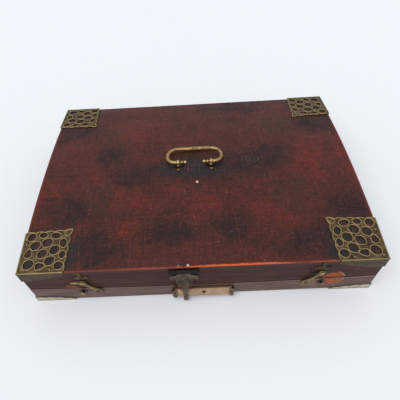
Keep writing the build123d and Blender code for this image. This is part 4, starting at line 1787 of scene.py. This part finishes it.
@dataclass
class Bail:
    """The bail handle, its two eye posts on lozenge roses, and the stud it strikes."""

    centre_x: float = -1.0
    pivot_z: float = 78.5
    droop: float = 3.5248
    arm: float = 35.4
    reach: float = 27.5
    outer_bend: float = 14.0
    inner_bend: float = 10.0
    tip: float = 10.1
    journal: Flat = (19.6, 23.4)
    journal_radius: float = 1.5
    collar: Flat = (1.6, 2.35)
    bar: float = 2.25
    grip: float = 2.85
    grip_half: float = 21.4
    ring_radius: float = 3.3
    ring_pitch: float = 2.7
    ring_half: float = 0.95
    # Where each finial swells, half its length, and its least and greatest radius
    knob: tuple[float, float, Flat] = (12.3, 2.4, (0.5, 2.1))
    neck: tuple[float, float, Flat] = (16.6, 0.9, (1.35, 2.1))
    post_x: float = 21.5
    stem: Flat = (1.8, 3.0)
    eye: float = 3.3
    eye_bore: float = 1.62
    eye_half: float = 1.5
    lid_z: float = 73.3
    rose: Flat = (8.5, 12.0)
    rose_depth: float = 0.8
    clench_z: float = 65.8
    clench: Spot = (1.8, 8.0, 1.0)
    stud: Spot = (1.2, -31.0, 2.0)
    stud_rise: float = 1.4

    def bar_path(self) -> list[Flat]:
        """The bar's middle line in the bail's own plane, every half millimetre or so."""
        right = [
            (self.arm, self.reach, self.outer_bend),
            (self.arm, 0.0, self.inner_bend),
            (self.tip, 0.0, 0.0),
        ]
        corners = [*[(-u, v, radius) for u, v, radius in reversed(right)], *right]
        line: list[Vector] = []
        for k, (u, v, radius) in enumerate(corners):
            here = Vector((u, v))
            if not radius:
                line.append(here)
                continue
            before = (Vector(corners[k - 1][:2]) - here).normalized()
            after = (Vector(corners[k + 1][:2]) - here).normalized()
            centre = here + (before + after) * radius
            for step in range(13):
                t = math.pi / 2 * step / 12
                line.append(centre - after * radius * math.cos(t) - before * radius * math.sin(t))
        dense: list[Flat] = []
        for first, second in zip(line, line[1:]):
            count = max(1, round((second - first).length / 0.45))
            for step in range(count):
                point = first.lerp(second, step / count)
                dense.append((point.x, point.y))
        dense.append((line[-1].x, line[-1].y))
        return dense

    def swell(self, place: float, middle: float, half: float, radii: Flat) -> float:
        """The radius of a turned swelling at a place along its axis."""
        off = min(1.0, abs(place - middle) / half)
        return radii[0] + (radii[1] - radii[0]) * math.sqrt(1 - off**2)

    def bar_radius(self, u: float, v: float) -> float:
        """The bar's radius at a place of its middle line."""
        reach = abs(u)
        if v > self.reach - 0.05 and reach < self.grip_half:
            share = 1 - (reach / self.grip_half) ** 2
            radius = self.bar + (self.grip - self.bar) * share**0.7
            for centre in (-self.ring_pitch, 0.0, self.ring_pitch):
                if abs(u - centre) < self.ring_half:
                    radii = (self.grip - 0.25, self.ring_radius)
                    radius = max(radius, self.swell(u, centre, self.ring_half, radii))
            return radius
        if v > 0.05:
            return self.bar
        if reach < self.knob[0] + self.knob[1] - 0.1:
            return self.swell(reach, *self.knob)
        if reach < self.journal[0] - 0.1:
            return self.swell(reach, *self.neck)
        end = self.journal[1]
        if reach < end:
            return self.journal_radius
        length, widest = self.collar
        if reach < end + length:
            return widest if reach > end + 0.2 else 2.0
        return min(self.bar, 1.7 + 0.2 * (reach - end - length))

    def bar_wear(self, u: float, v: float) -> float:
        """How rubbed the bar is: most on its arms, little on the browned grip."""
        reach = abs(u)
        if v > self.reach - 0.05 and reach < self.grip_half:
            in_ring = min(abs(u - k * self.ring_pitch) for k in (-1, 0, 1)) < 0.62
            in_groove = reach < 1.6 * self.ring_pitch
            return 0.85 if in_ring else -0.4 if in_groove else 0.5
        return 0.58 if v > 0.05 else 0.9 if self.bar_radius(u, v) > 1.6 else 0.3

    def handle(self) -> None:
        """The swinging bar with its rings and its two finials."""
        cos, sin = math.cos(math.radians(self.droop)), math.sin(math.radians(self.droop))
        flat = self.bar_path()
        path = [Vector((self.centre_x + u, v * cos, self.pivot_z - v * sin)) for u, v in flat]
        radii = [self.bar_radius(u, v) for u, v in flat]
        wear = [self.bar_wear(u, v) for u, v in flat]
        shell = Shell()
        shell.tube(path, radii, 24, wear)
        shell.piece("bail_bar", BAIL_BRASS, Body.BAIL, ["bail_handle"])

    def post(self, side: Side) -> None:
        """One split pin: an eye, its stem, and its ends clenched over inside.

        Args:
            side: Which of the two.
        """
        x = self.centre_x + side.value * self.post_x
        shell = Shell()
        middle, thick = (self.eye + self.eye_bore) / 2, (self.eye - self.eye_bore) / 2
        section = [(p * self.eye_half, middle + q * thick) for p, q in ring(1.0, sides=12)]
        rings = [
            [Vector((x + p, r * a, self.pivot_z + r * b)) for p, r in section]
            for a, b in ring(1.0, sides=28)
        ]
        shell.loft(rings, 0.8, looped=True)
        foot = [(0.0, 2.6), (0.5, 2.7), (0.9, 1.9), (1.5, 1.55), (2.3, 1.5)]
        shell.turned(foot, (x, 0, self.lid_z + self.rose_depth - 0.1), UP, 16, 0.5)
        top, low = self.lid_z + 1.0, self.clench_z
        stem = (*self.stem, top - low)
        shell.block(stem, lambda a, b, c: Vector((x + a, b, (top + low) / 2 + c)), 0.2, 0.2)
        shell.block(self.clench, lambda a, b, c: Vector((x + a, b, low + c)), 0.3, 0.4)
        name = f"eye_post_{side.word}"
        shell.piece(name, BAIL_BRASS, Body.LID, [f"bail_post_{side.word}"])

    def rosette(self, side: Side) -> None:
        """One lozenge rose with a beaded border and bright raised tips.

        Args:
            side: Which of the two.
        """
        x = self.centre_x + side.value * self.post_x
        wide, long = self.rose
        lozenge = [(wide, 0.0), (0.0, long), (-wide, 0.0), (0.0, -long)]
        outline = []
        for (a, b), (c, d) in around(lozenge):
            for t in (0.03, 0.2, 0.35, 0.5, 0.65, 0.8, 0.97):
                waist = 1 - 0.10 * math.sin(math.pi * t)
                outline.append(((a + (c - a) * t) * waist, (b + (d - b) * t) * waist))
        shell = Shell()

        def on_lid(a: float, b: float, h: float) -> Vector:
            """A point by its place beside the post and its height off the lid."""
            return Vector((x + a, b, CASE.crown_z(b) + h))

        shell.plate(outline, on_lid, 0.55, edge=0.3, wear=(0.0, 0.1), cuts=(-8, -4, 0, 4, 8))
        on_rose = raised(on_lid, 0.5)
        shell.bead(shifted(wound(outline, 1), 0.8), on_rose, 0.9, 0.32, 0.15)
        for way in (-1, 1):
            corners = ((0.0, 1.2), (-2.1, 5.0), (0.0, 4.0), (2.1, 5.0))
            tip = [(a, way * (long - back)) for a, back in corners]
            shell.plate(tip, on_rose, 0.35, edge=0.15, wear=(0.8, 1.0))
        name = f"lozenge_rose_{side.word}"
        shell.piece(name, ROSE_BRASS, Body.LID, [f"bail_rose_{side.word}"])

    def strike(self) -> None:
        """The domed stud in front of the posts."""
        x, y, radius = self.stud
        shell = Shell()
        dome = [(-0.1, radius), (0.15, radius), (0.6, 0.86 * radius), (1.0, 0.62 * radius)]
        dome += [(1.28, 0.32 * radius), (self.stud_rise - 0.05, 0.02)]
        shell.turned(dome, (x, y, CASE.crown_z(y)), (0, y / CASE.crown_radius, 1), 24, 0.9)
        shell.piece("strike_stud", BRIGHT_STEEL, Body.LID, ["bail_stud"])

    def build(self) -> None:
        """Builds the bar, the posts, the roses and the stud."""
        self.handle()
        for side in Side:
            self.post(side)
            self.rosette(side)
        self.strike()


@dataclass
class Hasp:
    """The hasp: a plate with knuckles, and a butterfly strap that ends in a ball tip."""

    x: float = -18.3
    width: float = 33.5
    axis_y: float = -151.7
    axis_z: float = 60.0
    barrel: float = 2.35
    knuckle: float = 8.375
    thickness: float = 1.8
    bends: tuple[Flat, Flat] = ((41.0, 5.1), (29.0, 9.4))
    tip: Flat = (6.0, 3.2)
    eye: Flat = (6.7, 41.0)
    eye_radius: float = 1.35
    nails: Flat = (5.05, -146.6)
    plate_height: float = 15.0
    plate_drop: float = 2.7
    # Half of the strap's outline, from under its knuckle down to the tip
    outline: Sequence[Flat] = (
        (7.6, 57.2), (7.7, 55.2), (9.4, 54.1), (12.6, 53.7), (15.0, 52.0), (15.8, 49.4),
        (15.2, 46.6), (13.4, 45.4), (11.0, 46.4), (9.0, 45.7), (8.2, 44.2), (9.6, 42.6),
        (9.7, 40.4), (8.6, 38.5), (6.6, 37.8), (5.4, 36.6), (4.6, 33.0), (3.8, 28.6), (3.0, 24.6),
        (2.6, 20.0), (2.5, 14.0), (2.6, 9.4), (3.0, 6.8), (2.9, 5.0), (2.0, 3.6),
    )

    def front(self, z: float) -> float:
        """How far the strap's face stands off the case at a height."""
        (high, near), (low, far) = self.bends
        t = min(max((high - z) / (high - low), 0.0), 1.0)
        return near + (far - near) * t * t * (3 - 2 * t)

    def strap(self) -> None:
        """The swinging strap with its middle knuckle, scroll eyes and ball tip."""
        shell = Shell()
        half = through(self.outline, 3, closed=False)
        outline = [*half, *mirrored(half)]
        centres = [(side * self.eye[0], self.eye[1]) for side in (-1, 1)]
        eyes = [ring(self.eye_radius, centre, 16) for centre in centres]

        def on_case(a: float, b: float, h: float) -> Vector:
            """A point by its place across and up the strap and its height off its back."""
            return Vector((self.x + a, -CASE.half_depth - self.front(b) + self.thickness - h, b))

        cuts = [56.5 - 1.5 * k for k in range(36)]
        shell.plate(outline, on_case, self.thickness, eyes, 0.45, (0.22, 0.75), cuts)
        above = raised(on_case, self.thickness)
        for centre in centres:
            shell.bead(ring(2.1, centre, 20), above, 1.0, 0.4, 0.1)
        inner = [(a, b) for a, b in shifted(outline, 1.5, closed=False) if 26 < b < 37]
        for sign in (1, -1):
            line = sorted([(a, b) for a, b in inner if a * sign > 0.6], key=lambda p: -p[1])
            shell.bead(line, above, 0.7, 0.25, 0.6, closed=False)
        z, r = self.tip
        ball = [(-1.6, 0.86 * r), (-0.9, r), (-0.2, 0.97 * r), (0.35, 0.78 * r), (0.75, 0.45 * r)]
        ball.append((0.88, 0.02))
        shell.turned(ball, (self.x, -CASE.half_depth - self.front(z), z), AHEAD, 24, 0.8)
        half_knuckle = self.width / 2 - self.knuckle - 0.3
        self.barrel_piece(shell, self.x - half_knuckle, 2 * half_knuckle)
        shell.piece("hasp_strap", DARK_IRON, Body.HASP, ["hasp"])

    def barrel_piece(self, shell: Shell, start: float, length: float) -> None:
        """Adds one knuckle, its ends rounded.

        Args:
            shell: The mesh it belongs to.
            start: Where it starts, across the case.
            length: Its length.
        """
        r = self.barrel
        end = [(0.0, r - 0.9), (0.0, r - 0.35), (0.12, r - 0.1), (0.35, r)]
        profile = [*end, *[(length - way, radius) for way, radius in reversed(end)]]
        # The knuckles take a wear below zero and come out darkest: painted shade where they sit
        # back between the lid's face and the strap, over the iron's own dark
        shell.turned(profile, (start, self.axis_y, self.axis_z), (1, 0, 0), 28, -0.4)

    def plate(self) -> None:
        """The fixed half: a plate on the lid's front wall with the two outer knuckles."""
        shell = Shell()
        top = self.axis_z - self.plate_drop
        low = top - self.plate_height
        left, right = self.x - self.width / 2 + 1.0, self.x + self.width / 2 - 1.0
        outline = [(left, low), (right, low), (right, top), (left, top)]
        shell.plate(outline, CASE.in_front(), 1.2, edge=0.3, wear=(0.1, 0.5))
        for side in (-1, 1):
            start = self.x + side * (self.width / 2) - (self.knuckle if side > 0 else 0.0)
            self.barrel_piece(shell, start, self.knuckle)
            middle = Vector((start + self.knuckle / 2, -CASE.half_depth - 0.62, top + 1.2))
            web = (self.knuckle - 0.2, 1.2, 4.4)
            shell.block(web, lambda a, b, c, m=middle: m + Vector((a, b, c)), 0.2, 0.3)
            end = (self.x + side * (self.width / 2 - 0.1), self.axis_y, self.axis_z)
            button = [(0, 1.1), (0.4, 1.05), (0.7, 0.7), (0.8, 0.02)]
            shell.turned(button, end, (side, 0, 0), 16, 0.3)
        shell.piece(
            "hasp_plate_dressed", DARK_IRON, Body.LID, ["hasp_plate", "hasp_pin"]
        )

    def nail_heads(self) -> None:
        """The two bright nails on the lid behind the hasp."""
        shell = Shell()
        spacing, y = self.nails
        for side, r, rubbed in ((-1, 1.15, 0.0), (1, 1.4, 0.9)):
            head = [(-0.1, r), (0.2, r), (0.5, 0.77 * r), (0.66, 0.4 * r), (0.7, 0.02)]
            place = (self.x + side * spacing, y, CASE.crown_z(y))
            shell.turned(head, place, (0, -0.12, 1), 14, rubbed)
        shell.piece("hasp_nail_heads", BRIGHT_STEEL, Body.LID, ["hasp_nails"])

    def build(self) -> None:
        """Builds the strap, the plate and the nails."""
        self.strap()
        self.plate()
        self.nail_heads()


@dataclass
class Latches:
    """The two swinging hooks with their winged plates, and the catches on the base."""

    pivot: Flat = (134.0, 43.4)
    plate_depth: float = 1.3
    hook_low: float = 1.6
    hook_depth: float = 1.5
    head_low: float = 3.4
    rest_tilt: float = 35.0
    catch: Flat = (139.052, 19.631)
    # Half of the plate's outline, from its foot up to the tip of its finial
    plate_half: Sequence[Flat] = (
        (0.0, -6.9), (2.6, -6.6), (4.3, -5.0), (4.4, -1.5), (4.3, 2.0), (3.4, 4.4), (3.0, 6.2),
        (5.6, 6.6), (8.2, 7.2), (9.6, 8.8), (7.6, 9.8), (5.2, 10.2), (3.0, 10.9), (1.9, 12.6),
        (1.8, 14.4), (2.7, 15.8), (2.8, 17.8), (1.6, 19.6), (0.0, 20.2),
    )
    # The hook, hanging, with its jaw open towards its first axis
    hook_line: Sequence[Flat] = (
        (0.0, 4.2), (3.0, 2.9), (4.2, 0.0), (3.2, -2.9), (2.3, -5.6), (2.0, -11.0), (2.2, -16.8),
        (3.2, -19.6), (4.9, -21.4), (4.4, -22.3), (2.6, -22.25), (0.0, -22.25), (-1.5, -22.85),
        (-2.05, -24.3), (-1.5, -25.75), (0.0, -26.35), (2.6, -26.35), (4.5, -26.4), (4.6, -27.4),
        (2.9, -29.2), (1.3, -31.0), (0.0, -32.6), (-1.4, -30.6), (-3.2, -28.4), (-4.7, -26.2),
        (-5.0, -24.3), (-4.6, -21.8), (-3.1, -19.4), (-2.2, -16.8), (-2.0, -11.0), (-2.3, -5.6),
        (-3.2, -2.9), (-4.2, 0.0), (-3.0, 2.9),
    )
    thumb: float = 13.4
    thumb_root: float = 3.2
    shank: float = 1.58
    catch_plate: float = 8.4

    def fixed_plate(self, side: Side) -> None:
        """One winged plate with the pivot and its domed head.

        Args:
            side: Which of the two.
        """
        x, z = side.value * self.pivot[0], self.pivot[1]
        half = through(self.plate_half, 3, closed=False)
        outline = [(x + a, z + b) for a, b in [*half, *mirrored(half)[1:-1]]]
        shell = Shell()
        shell.plate(outline, CASE.in_front(), self.plate_depth, edge=0.35, wear=(0.1, 0.6))
        face = -CASE.half_depth - self.plate_depth
        for a, b, radius in ((6.9, 8.5, 1.1), (-6.9, 8.5, 1.1), (0.0, 17.4, 1.5), (0.0, 8.6, 1.4)):
            boss = [(-0.1, radius), (0.08, radius), (0.2, 0.75 * radius), (0.26, 0.02)]
            shell.turned(boss, (x + a, face, z + b), AHEAD, 14, 0.45)
        rivet = [(0.0, self.shank), (self.head_low - self.plate_depth + 0.25, self.shank)]
        shell.turned(rivet, (x, face + 0.2, z), AHEAD, 20, 0.3)
        head = [(0.0, 2.5), (0.0, 2.95), (0.25, 3.0), (0.6, 2.5), (0.9, 1.5), (1.0, 0.02)]
        rubbed = [0.3, 0.5, 0.7, 0.9, 1.0, 1.0]
        shell.turned(head, (x, -CASE.half_depth - self.head_low, z), AHEAD, 24, rubbed)
        name = f"winged_plate_{side.word}"
        shell.piece(name, LATCH_METAL, Body.LID, [f"latch_plate_{side.word}"])

    def hook(self, side: Side) -> None:
        """One hook with its ridge and its thumb piece, at the tilt it rests at.

        Args:
            side: Which of the two.
        """
        x, z = side.value * self.pivot[0], self.pivot[1]
        turn = math.radians(self.rest_tilt)
        cos, sin = math.cos(turn), math.sin(turn)

        def hung(a: float, b: float) -> Flat:
            """Where a point of the hook, drawn hanging, lies on the front."""
            a *= side.value
            return x + a * cos + side.value * b * sin, z - side.value * a * sin + b * cos

        outline = [hung(a, b) for a, b in through(self.hook_line, 3)]
        bore = [hung(a, b) for a, b in ring(self.shank + 0.1, sides=20)]
        behind = CASE.in_front(self.hook_low)
        shell = Shell()
        shell.plate(outline, behind, self.hook_depth, [bore], 0.4, (0.38, 0.85))
        ridge = [hung(0.0, b) for b in (-5.0, -9.0, -13.0, -17.0, -20.0)]
        shell.bead(ridge, raised(behind, self.hook_depth), 1.2, 0.3, 0.9, closed=False)
        y = -CASE.half_depth - self.hook_low - self.hook_depth / 2
        path, radii = [], []
        for k in range(13):
            t = k / 12
            way = self.thumb_root + (self.thumb - self.thumb_root) * t
            arch = math.sin(math.pi * t)
            swell = math.sin(math.pi * min(1.0, 1.15 * t))
            path.append(Vector((x - way, y - 0.35 * arch, z + 0.5 * arch)))
            radii.append(1.25 + 0.35 * swell - 0.55 * max(0.0, t - 0.85) / 0.15)
        rubbed = 0.95 if side is Side.LEFT else 0.4
        shell.tube(path, radii, 14, rubbed, flat=0.6, broad=Vector((0.0, 0.0, 1.0)))
        body = Body(f"hook_{side.word}")
        name = f"swing_hook_{side.word}"
        shell.piece(name, LATCH_METAL, body, [f"latch_hook_{side.word}"])

    def stud(self, side: Side) -> None:
        """One catch: a headed stud on a small square plate set on its corner.

        Args:
            side: Which of the two.
        """
        x, z = side.value * self.catch[0], self.catch[1]
        corners = ring(self.catch_plate / math.sqrt(2), (x, z), 4)
        outline = []
        for (a, b), (c, d) in around(corners):
            outline += [(a + (c - a) * t, b + (d - b) * t) for t in (0.06, 0.35, 0.65, 0.94)]
        shell = Shell()
        shell.plate(outline, CASE.in_front(), 1.0, edge=0.3, wear=(0.1, 0.6))
        post = [(0.0, self.shank), (self.head_low - 0.6, self.shank)]
        shell.turned(post, (x, -CASE.half_depth - 0.8, z), AHEAD, 20, 0.3)
        head = [(0.0, 2.2), (0.0, 2.65), (0.25, 2.7), (0.6, 2.2), (0.9, 1.3), (1.0, 0.02)]
        shell.turned(head, (x, -CASE.half_depth - self.head_low, z), AHEAD, 24, 0.8)
        name = f"catch_stud_{side.word}"
        shell.piece(name, LATCH_METAL, Body.BASE, [f"latch_catch_{side.word}"])

    def build(self) -> None:
        """Builds both plates, hooks and catches."""
        for side in Side:
            self.fixed_plate(side)
            self.hook(side)
            self.stud(side)


@dataclass
class StrapHandle:
    """The leather handle on the base's front, with its clasps and studs."""

    origin: Spot = (2.2, -155.6, 8.6)
    lean: float = 10.751
    length: float = 66.6
    height: float = 13.4
    thickness: float = 3.0
    clasp_x: float = 33.1
    clasp_width: float = 6.0
    clasp_low: float = -1.6
    clasp_high: float = 11.6
    wall: float = 0.85
    stud_z: float = 24.3
    stud_radius: float = 2.1
    stud_rise: float = 1.6
    lug_width: float = 4.0
    brad_place: Flat = (0.8, 6.6)

    def on_strap(self, a: float, b: float, h: float) -> Vector:
        """A point by its place across and up the leather's face, and its height off it."""
        lean = math.radians(self.lean)
        x, y, z = self.origin
        up = Vector((0, math.sin(lean), math.cos(lean)))
        out = Vector((0, -math.cos(lean), math.sin(lean)))
        return Vector((x + a, y, z)) + up * b + out * h

    def leather(self) -> None:
        """The strap: a cut band, its face a little bulged, its edges rounded, grimy and painted
        with shade.
        """
        half, high, edge = self.length / 2, self.height, 0.7
        across = [-half, -half + 0.1, -half + 0.35]
        across += [-half + edge + 2 * (half - edge) * k / 60 for k in range(61)]
        across += [half - 0.35, half - 0.1, half]
        up = [0.0, 0.07, 0.25]
        up += [edge + (high - 2 * edge) * k / 14 for k in range(15)]
        up += [high - 0.25, high - 0.07, high]

        def drop(a: float, b: float) -> float:
            """How far the rounded edge has fallen back."""
            near = min(b, high - b, half - abs(a))
            return edge - math.sqrt(max(0.0, edge**2 - max(0.0, edge - near) ** 2))

        def face(a: float, b: float) -> Vector:
            """The leather's face at a place, a little dented."""
            dent = 0.12 * noise.noise(Vector((a / 9, b / 5, 1.0))) - 0.15
            return self.on_strap(a, b, min(0.0, dent) - drop(a, b))

        def back(a: float, b: float) -> Vector:
            """The leather's back at a place."""
            return self.on_strap(a, b, -self.thickness + drop(a, b))

        def rubbed(a: float, b: float) -> float:
            """Grime and painted shade darken the edges and the leather beside and under the clasps.
            """
            near = min(b, high - b, half - 2.4 - abs(a))
            return min(1.0, max(0.0, 1.0 - near / 1.9))

        shell = Shell()
        shell.slab(across, up, face, back, rubbed)
        shell.piece("leather_band", STRAP_LEATHER, Body.BASE, ["handle_strap"])

    def brad(self) -> None:
        """The small heart-shaped brad through the leather."""
        half = [(0.0, -2.4), (1.7, -0.6), (2.7, 0.9), (2.0, 2.1), (0.8, 2.0), (0.0, 1.2)]
        heart = through([*half, *mirrored(half)[1:-1]], 4)
        shell = Shell()
        x, z = self.brad_place

        def sunk(a: float, b: float, h: float) -> Vector:
            """A point of the brad, let into the leather a little."""
            return self.on_strap(x + a, z + b, h - 0.35)

        shell.plate(heart, sunk, 0.5, edge=0.12, wear=(-0.5, -0.3))
        shell.piece("heart_brad", DARK_IRON, Body.BASE)

    def clasp(self, side: Side) -> None:
        """One clasp folded round an end of the leather, with its lug.

        Args:
            side: Which of the two.
        """
        shell = Shell()
        centre = side.value * self.clasp_x
        half, low, high = self.clasp_width / 2, self.clasp_low, self.clasp_high
        outline = [
            (centre + a, b + (high - half if b > 0 else low + half))
            for a, b in ring(half, sides=28)
        ]
        gap = 0.05

        def behind(a: float, b: float, h: float) -> Vector:
            """A point by its place on the leather and its depth behind it."""
            return self.on_strap(a, b, -self.thickness - gap - h)

        shell.plate(outline, raised(self.on_strap, gap), self.wall, edge=0.4, wear=(0.3, 0.9))
        shell.plate(outline, behind, self.wall - gap, edge=0.3, wear=(0.2, 0.5))
        line = shifted(wound(outline, 1), 1.0)
        shell.bead(line, raised(self.on_strap, gap + self.wall), 0.8, 0.02, 0.9)
        end, middle = centre + side.value * (half - 0.5), (high + low) / 2
        shell.block(
            (0.9, high - low - 2 * half + 1.0, self.thickness + 0.6),
            lambda a, b, c: self.on_strap(end + a, middle + b, c - self.thickness / 2),
            0.3,
            0.4,
        )
        top, foot = self.stud_z + 2.0, self.stud_z - 8.0
        x, wide = self.origin[0] + centre, self.lug_width / 2
        corners = [(wide, foot), (wide, top - 1.6), (0.9, top)]
        lug = through([(x + a, b) for a, b in [*corners, *mirrored(corners)]], 3)
        shell.plate(lug, CASE.in_front(gap), 1.0, edge=0.3, wear=(0.2, 0.6))
        name = f"strap_clasp_{side.word}"
        shell.piece(name, DARK_IRON, Body.BASE, [f"handle_clasp_{side.word}"])

    def studs(self) -> None:
        """The round-headed studs that hold the lugs."""
        shell = Shell()
        r = self.stud_radius
        head = [(0.0, 0.8 * r), (0.0, 0.95 * r), (0.4, r), (0.9, 0.84 * r), (1.3, 0.55 * r)]
        head.append((self.stud_rise, 0.02))
        for side in Side:
            x = self.origin[0] + side.value * self.clasp_x
            shell.turned(head, (x, -CASE.half_depth - 1.1, self.stud_z), AHEAD, 20, 0.5)
            shank = [(0.0, 0.9), (1.3, 0.9)]
            shell.turned(shank, (x, -CASE.half_depth, self.stud_z), AHEAD, 12, 0.2)
        shell.piece("strap_studs", DARK_IRON, Body.BASE, ["handle_studs"])

    def build(self) -> None:
        """Builds the leather, its brad, the clasps and the studs."""
        self.leather()
        self.brad()
        for side in Side:
            self.clasp(side)
        self.studs()


@dataclass
class Hinges:
    """The butt hinges at the back, their leaves let in flat and nailed."""

    leaf: float = 1.5
    leaf_edge: float = 0.25
    nail_x: float = 15.0
    centre_x: float = 125.0
    head: float = 2.0

    def build(self) -> None:
        """Builds the leaves, the pins and the nail heads."""
        halves = (("lid", Body.LID), ("base", Body.BASE))
        for side in Side:
            for name, body in halves:
                leaf = f"{name}_hinge_leaf_{side.word}"
                eased(leaf, DARK_IRON, body, self.leaf_edge)
            pin = f"hinge_pin_{side.word}"
            eased(pin, BRIGHT_STEEL, Body.BASE, self.leaf_edge)
        r = self.head
        dome = [(0.0, r), (0.15, r), (0.4, 0.75 * r), (0.55, 0.4 * r), (0.6, 0.02)]
        for name, body in halves:
            low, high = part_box(f"{name}_hinge_nails")
            z = (low.z + high.z) / 2 / MM
            shell = Shell()
            for side in Side:
                for way in (-1, 1):
                    x = side.value * self.centre_x + way * self.nail_x
                    shell.turned(dome, (x, CASE.half_depth + self.leaf, z), (0, 1, 0), 14, 0.5)
            nails = [f"{name}_hinge_nails"]
            shell.piece(f"{name}_leaf_nails", DARK_IRON, body, nails)


@dataclass
class Studio:
    """A pale floor, soft light and a camera where the photograph was taken from."""

    camera_place: Spot = (-0.5, -341.1, 393.3)
    pitch: float = 55.0
    nudge: Spot = (-0.05, 0.0275, -0.0452)
    lens: float = 31.635
    shift: Flat = (0.029, 0.0505)
    floor_half: float = 4.0
    sky: float = 0.76
    sky_colour: str = "F4F8FC"
    sun: float = 1.3
    sun_width: float = 50.0
    sun_turn: Flat = (22.0, -18.0)

    def camera(self) -> None:
        """Sets the camera up from the fitted place and turn."""
        down_angle = math.radians(self.pitch)
        forward = Vector((0, math.cos(down_angle), -math.sin(down_angle)))
        right = Vector((1, 0, 0))
        down = forward.cross(right)
        turn = Vector(self.nudge)
        look = Matrix.Rotation(turn.length, 3, turn.normalized()) @ Matrix((right, down, forward))
        axes = Matrix((look[0], -look[1], -look[2])).transposed()
        data = bpy.data.cameras.new("Viewpoint")
        data.sensor_width = 36.0
        data.lens = self.lens
        data.shift_x, data.shift_y = self.shift
        data.clip_start, data.clip_end = 0.01, 50.0
        made = bpy.data.objects.new("Viewpoint", data)
        made.matrix_world = Matrix.Translation(Vector(self.camera_place) * MM) @ axes.to_4x4()
        bpy.context.scene.collection.objects.link(made)
        bpy.context.scene.camera = made

    def floor(self) -> None:
        """A wide flat floor under the case."""
        mesh = bpy.data.meshes.new("floor")
        drawn = bmesh.new()
        bmesh.ops.create_grid(drawn, x_segments=8, y_segments=8, size=self.floor_half)
        drawn.to_mesh(mesh)
        drawn.free()
        made = bpy.data.objects.new("floor", mesh)
        mesh.materials.append(PaintedFloor().material())
        bpy.context.scene.collection.objects.link(made)
        made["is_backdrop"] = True

    def lights(self) -> None:
        """Even pale light from all around and a broad soft key from the upper left."""
        world = bpy.data.worlds.new("Studio")
        world.use_nodes = True
        tree = world.node_tree
        tree.nodes.clear()
        light = {"Color": linear(self.sky_colour), "Strength": self.sky}
        pale = add(tree, "ShaderNodeBackground", inputs=light)
        add(tree, "ShaderNodeOutputWorld", inputs={"Surface": pale.outputs["Background"]})
        bpy.context.scene.world = world
        key = bpy.data.lights.new("Key", "SUN")
        key.energy = self.sun
        key.angle = math.radians(self.sun_width)
        made = bpy.data.objects.new("Key", key)
        made.rotation_euler = (*[math.radians(turn) for turn in self.sun_turn], 0)
        bpy.context.scene.collection.objects.link(made)

    def build(self) -> None:
        """Sets up the camera, the floor, the lights and plain colour handling."""
        self.camera()
        self.floor()
        self.lights()
        bpy.context.scene.view_settings.view_transform = "Standard"


def main() -> None:
    """Builds every sub-assembly in order and works out the CAD box and the visual box."""
    logging.basicConfig(level=logging.INFO, format="%(message)s")
    for assembly in (
        Studio(), Boards(), CornerMounts(), Bail(), Hasp(), Latches(), StrapHandle(), Hinges()
    ):
        assembly.build()
        log.info("%s is built", type(assembly).__name__)
    boxes = {"cad": CAD_BOX, "visual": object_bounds()}
    plain = {key: [list(corner) for corner in box] for key, box in boxes.items()}


if __name__ == "__main__":
    main()
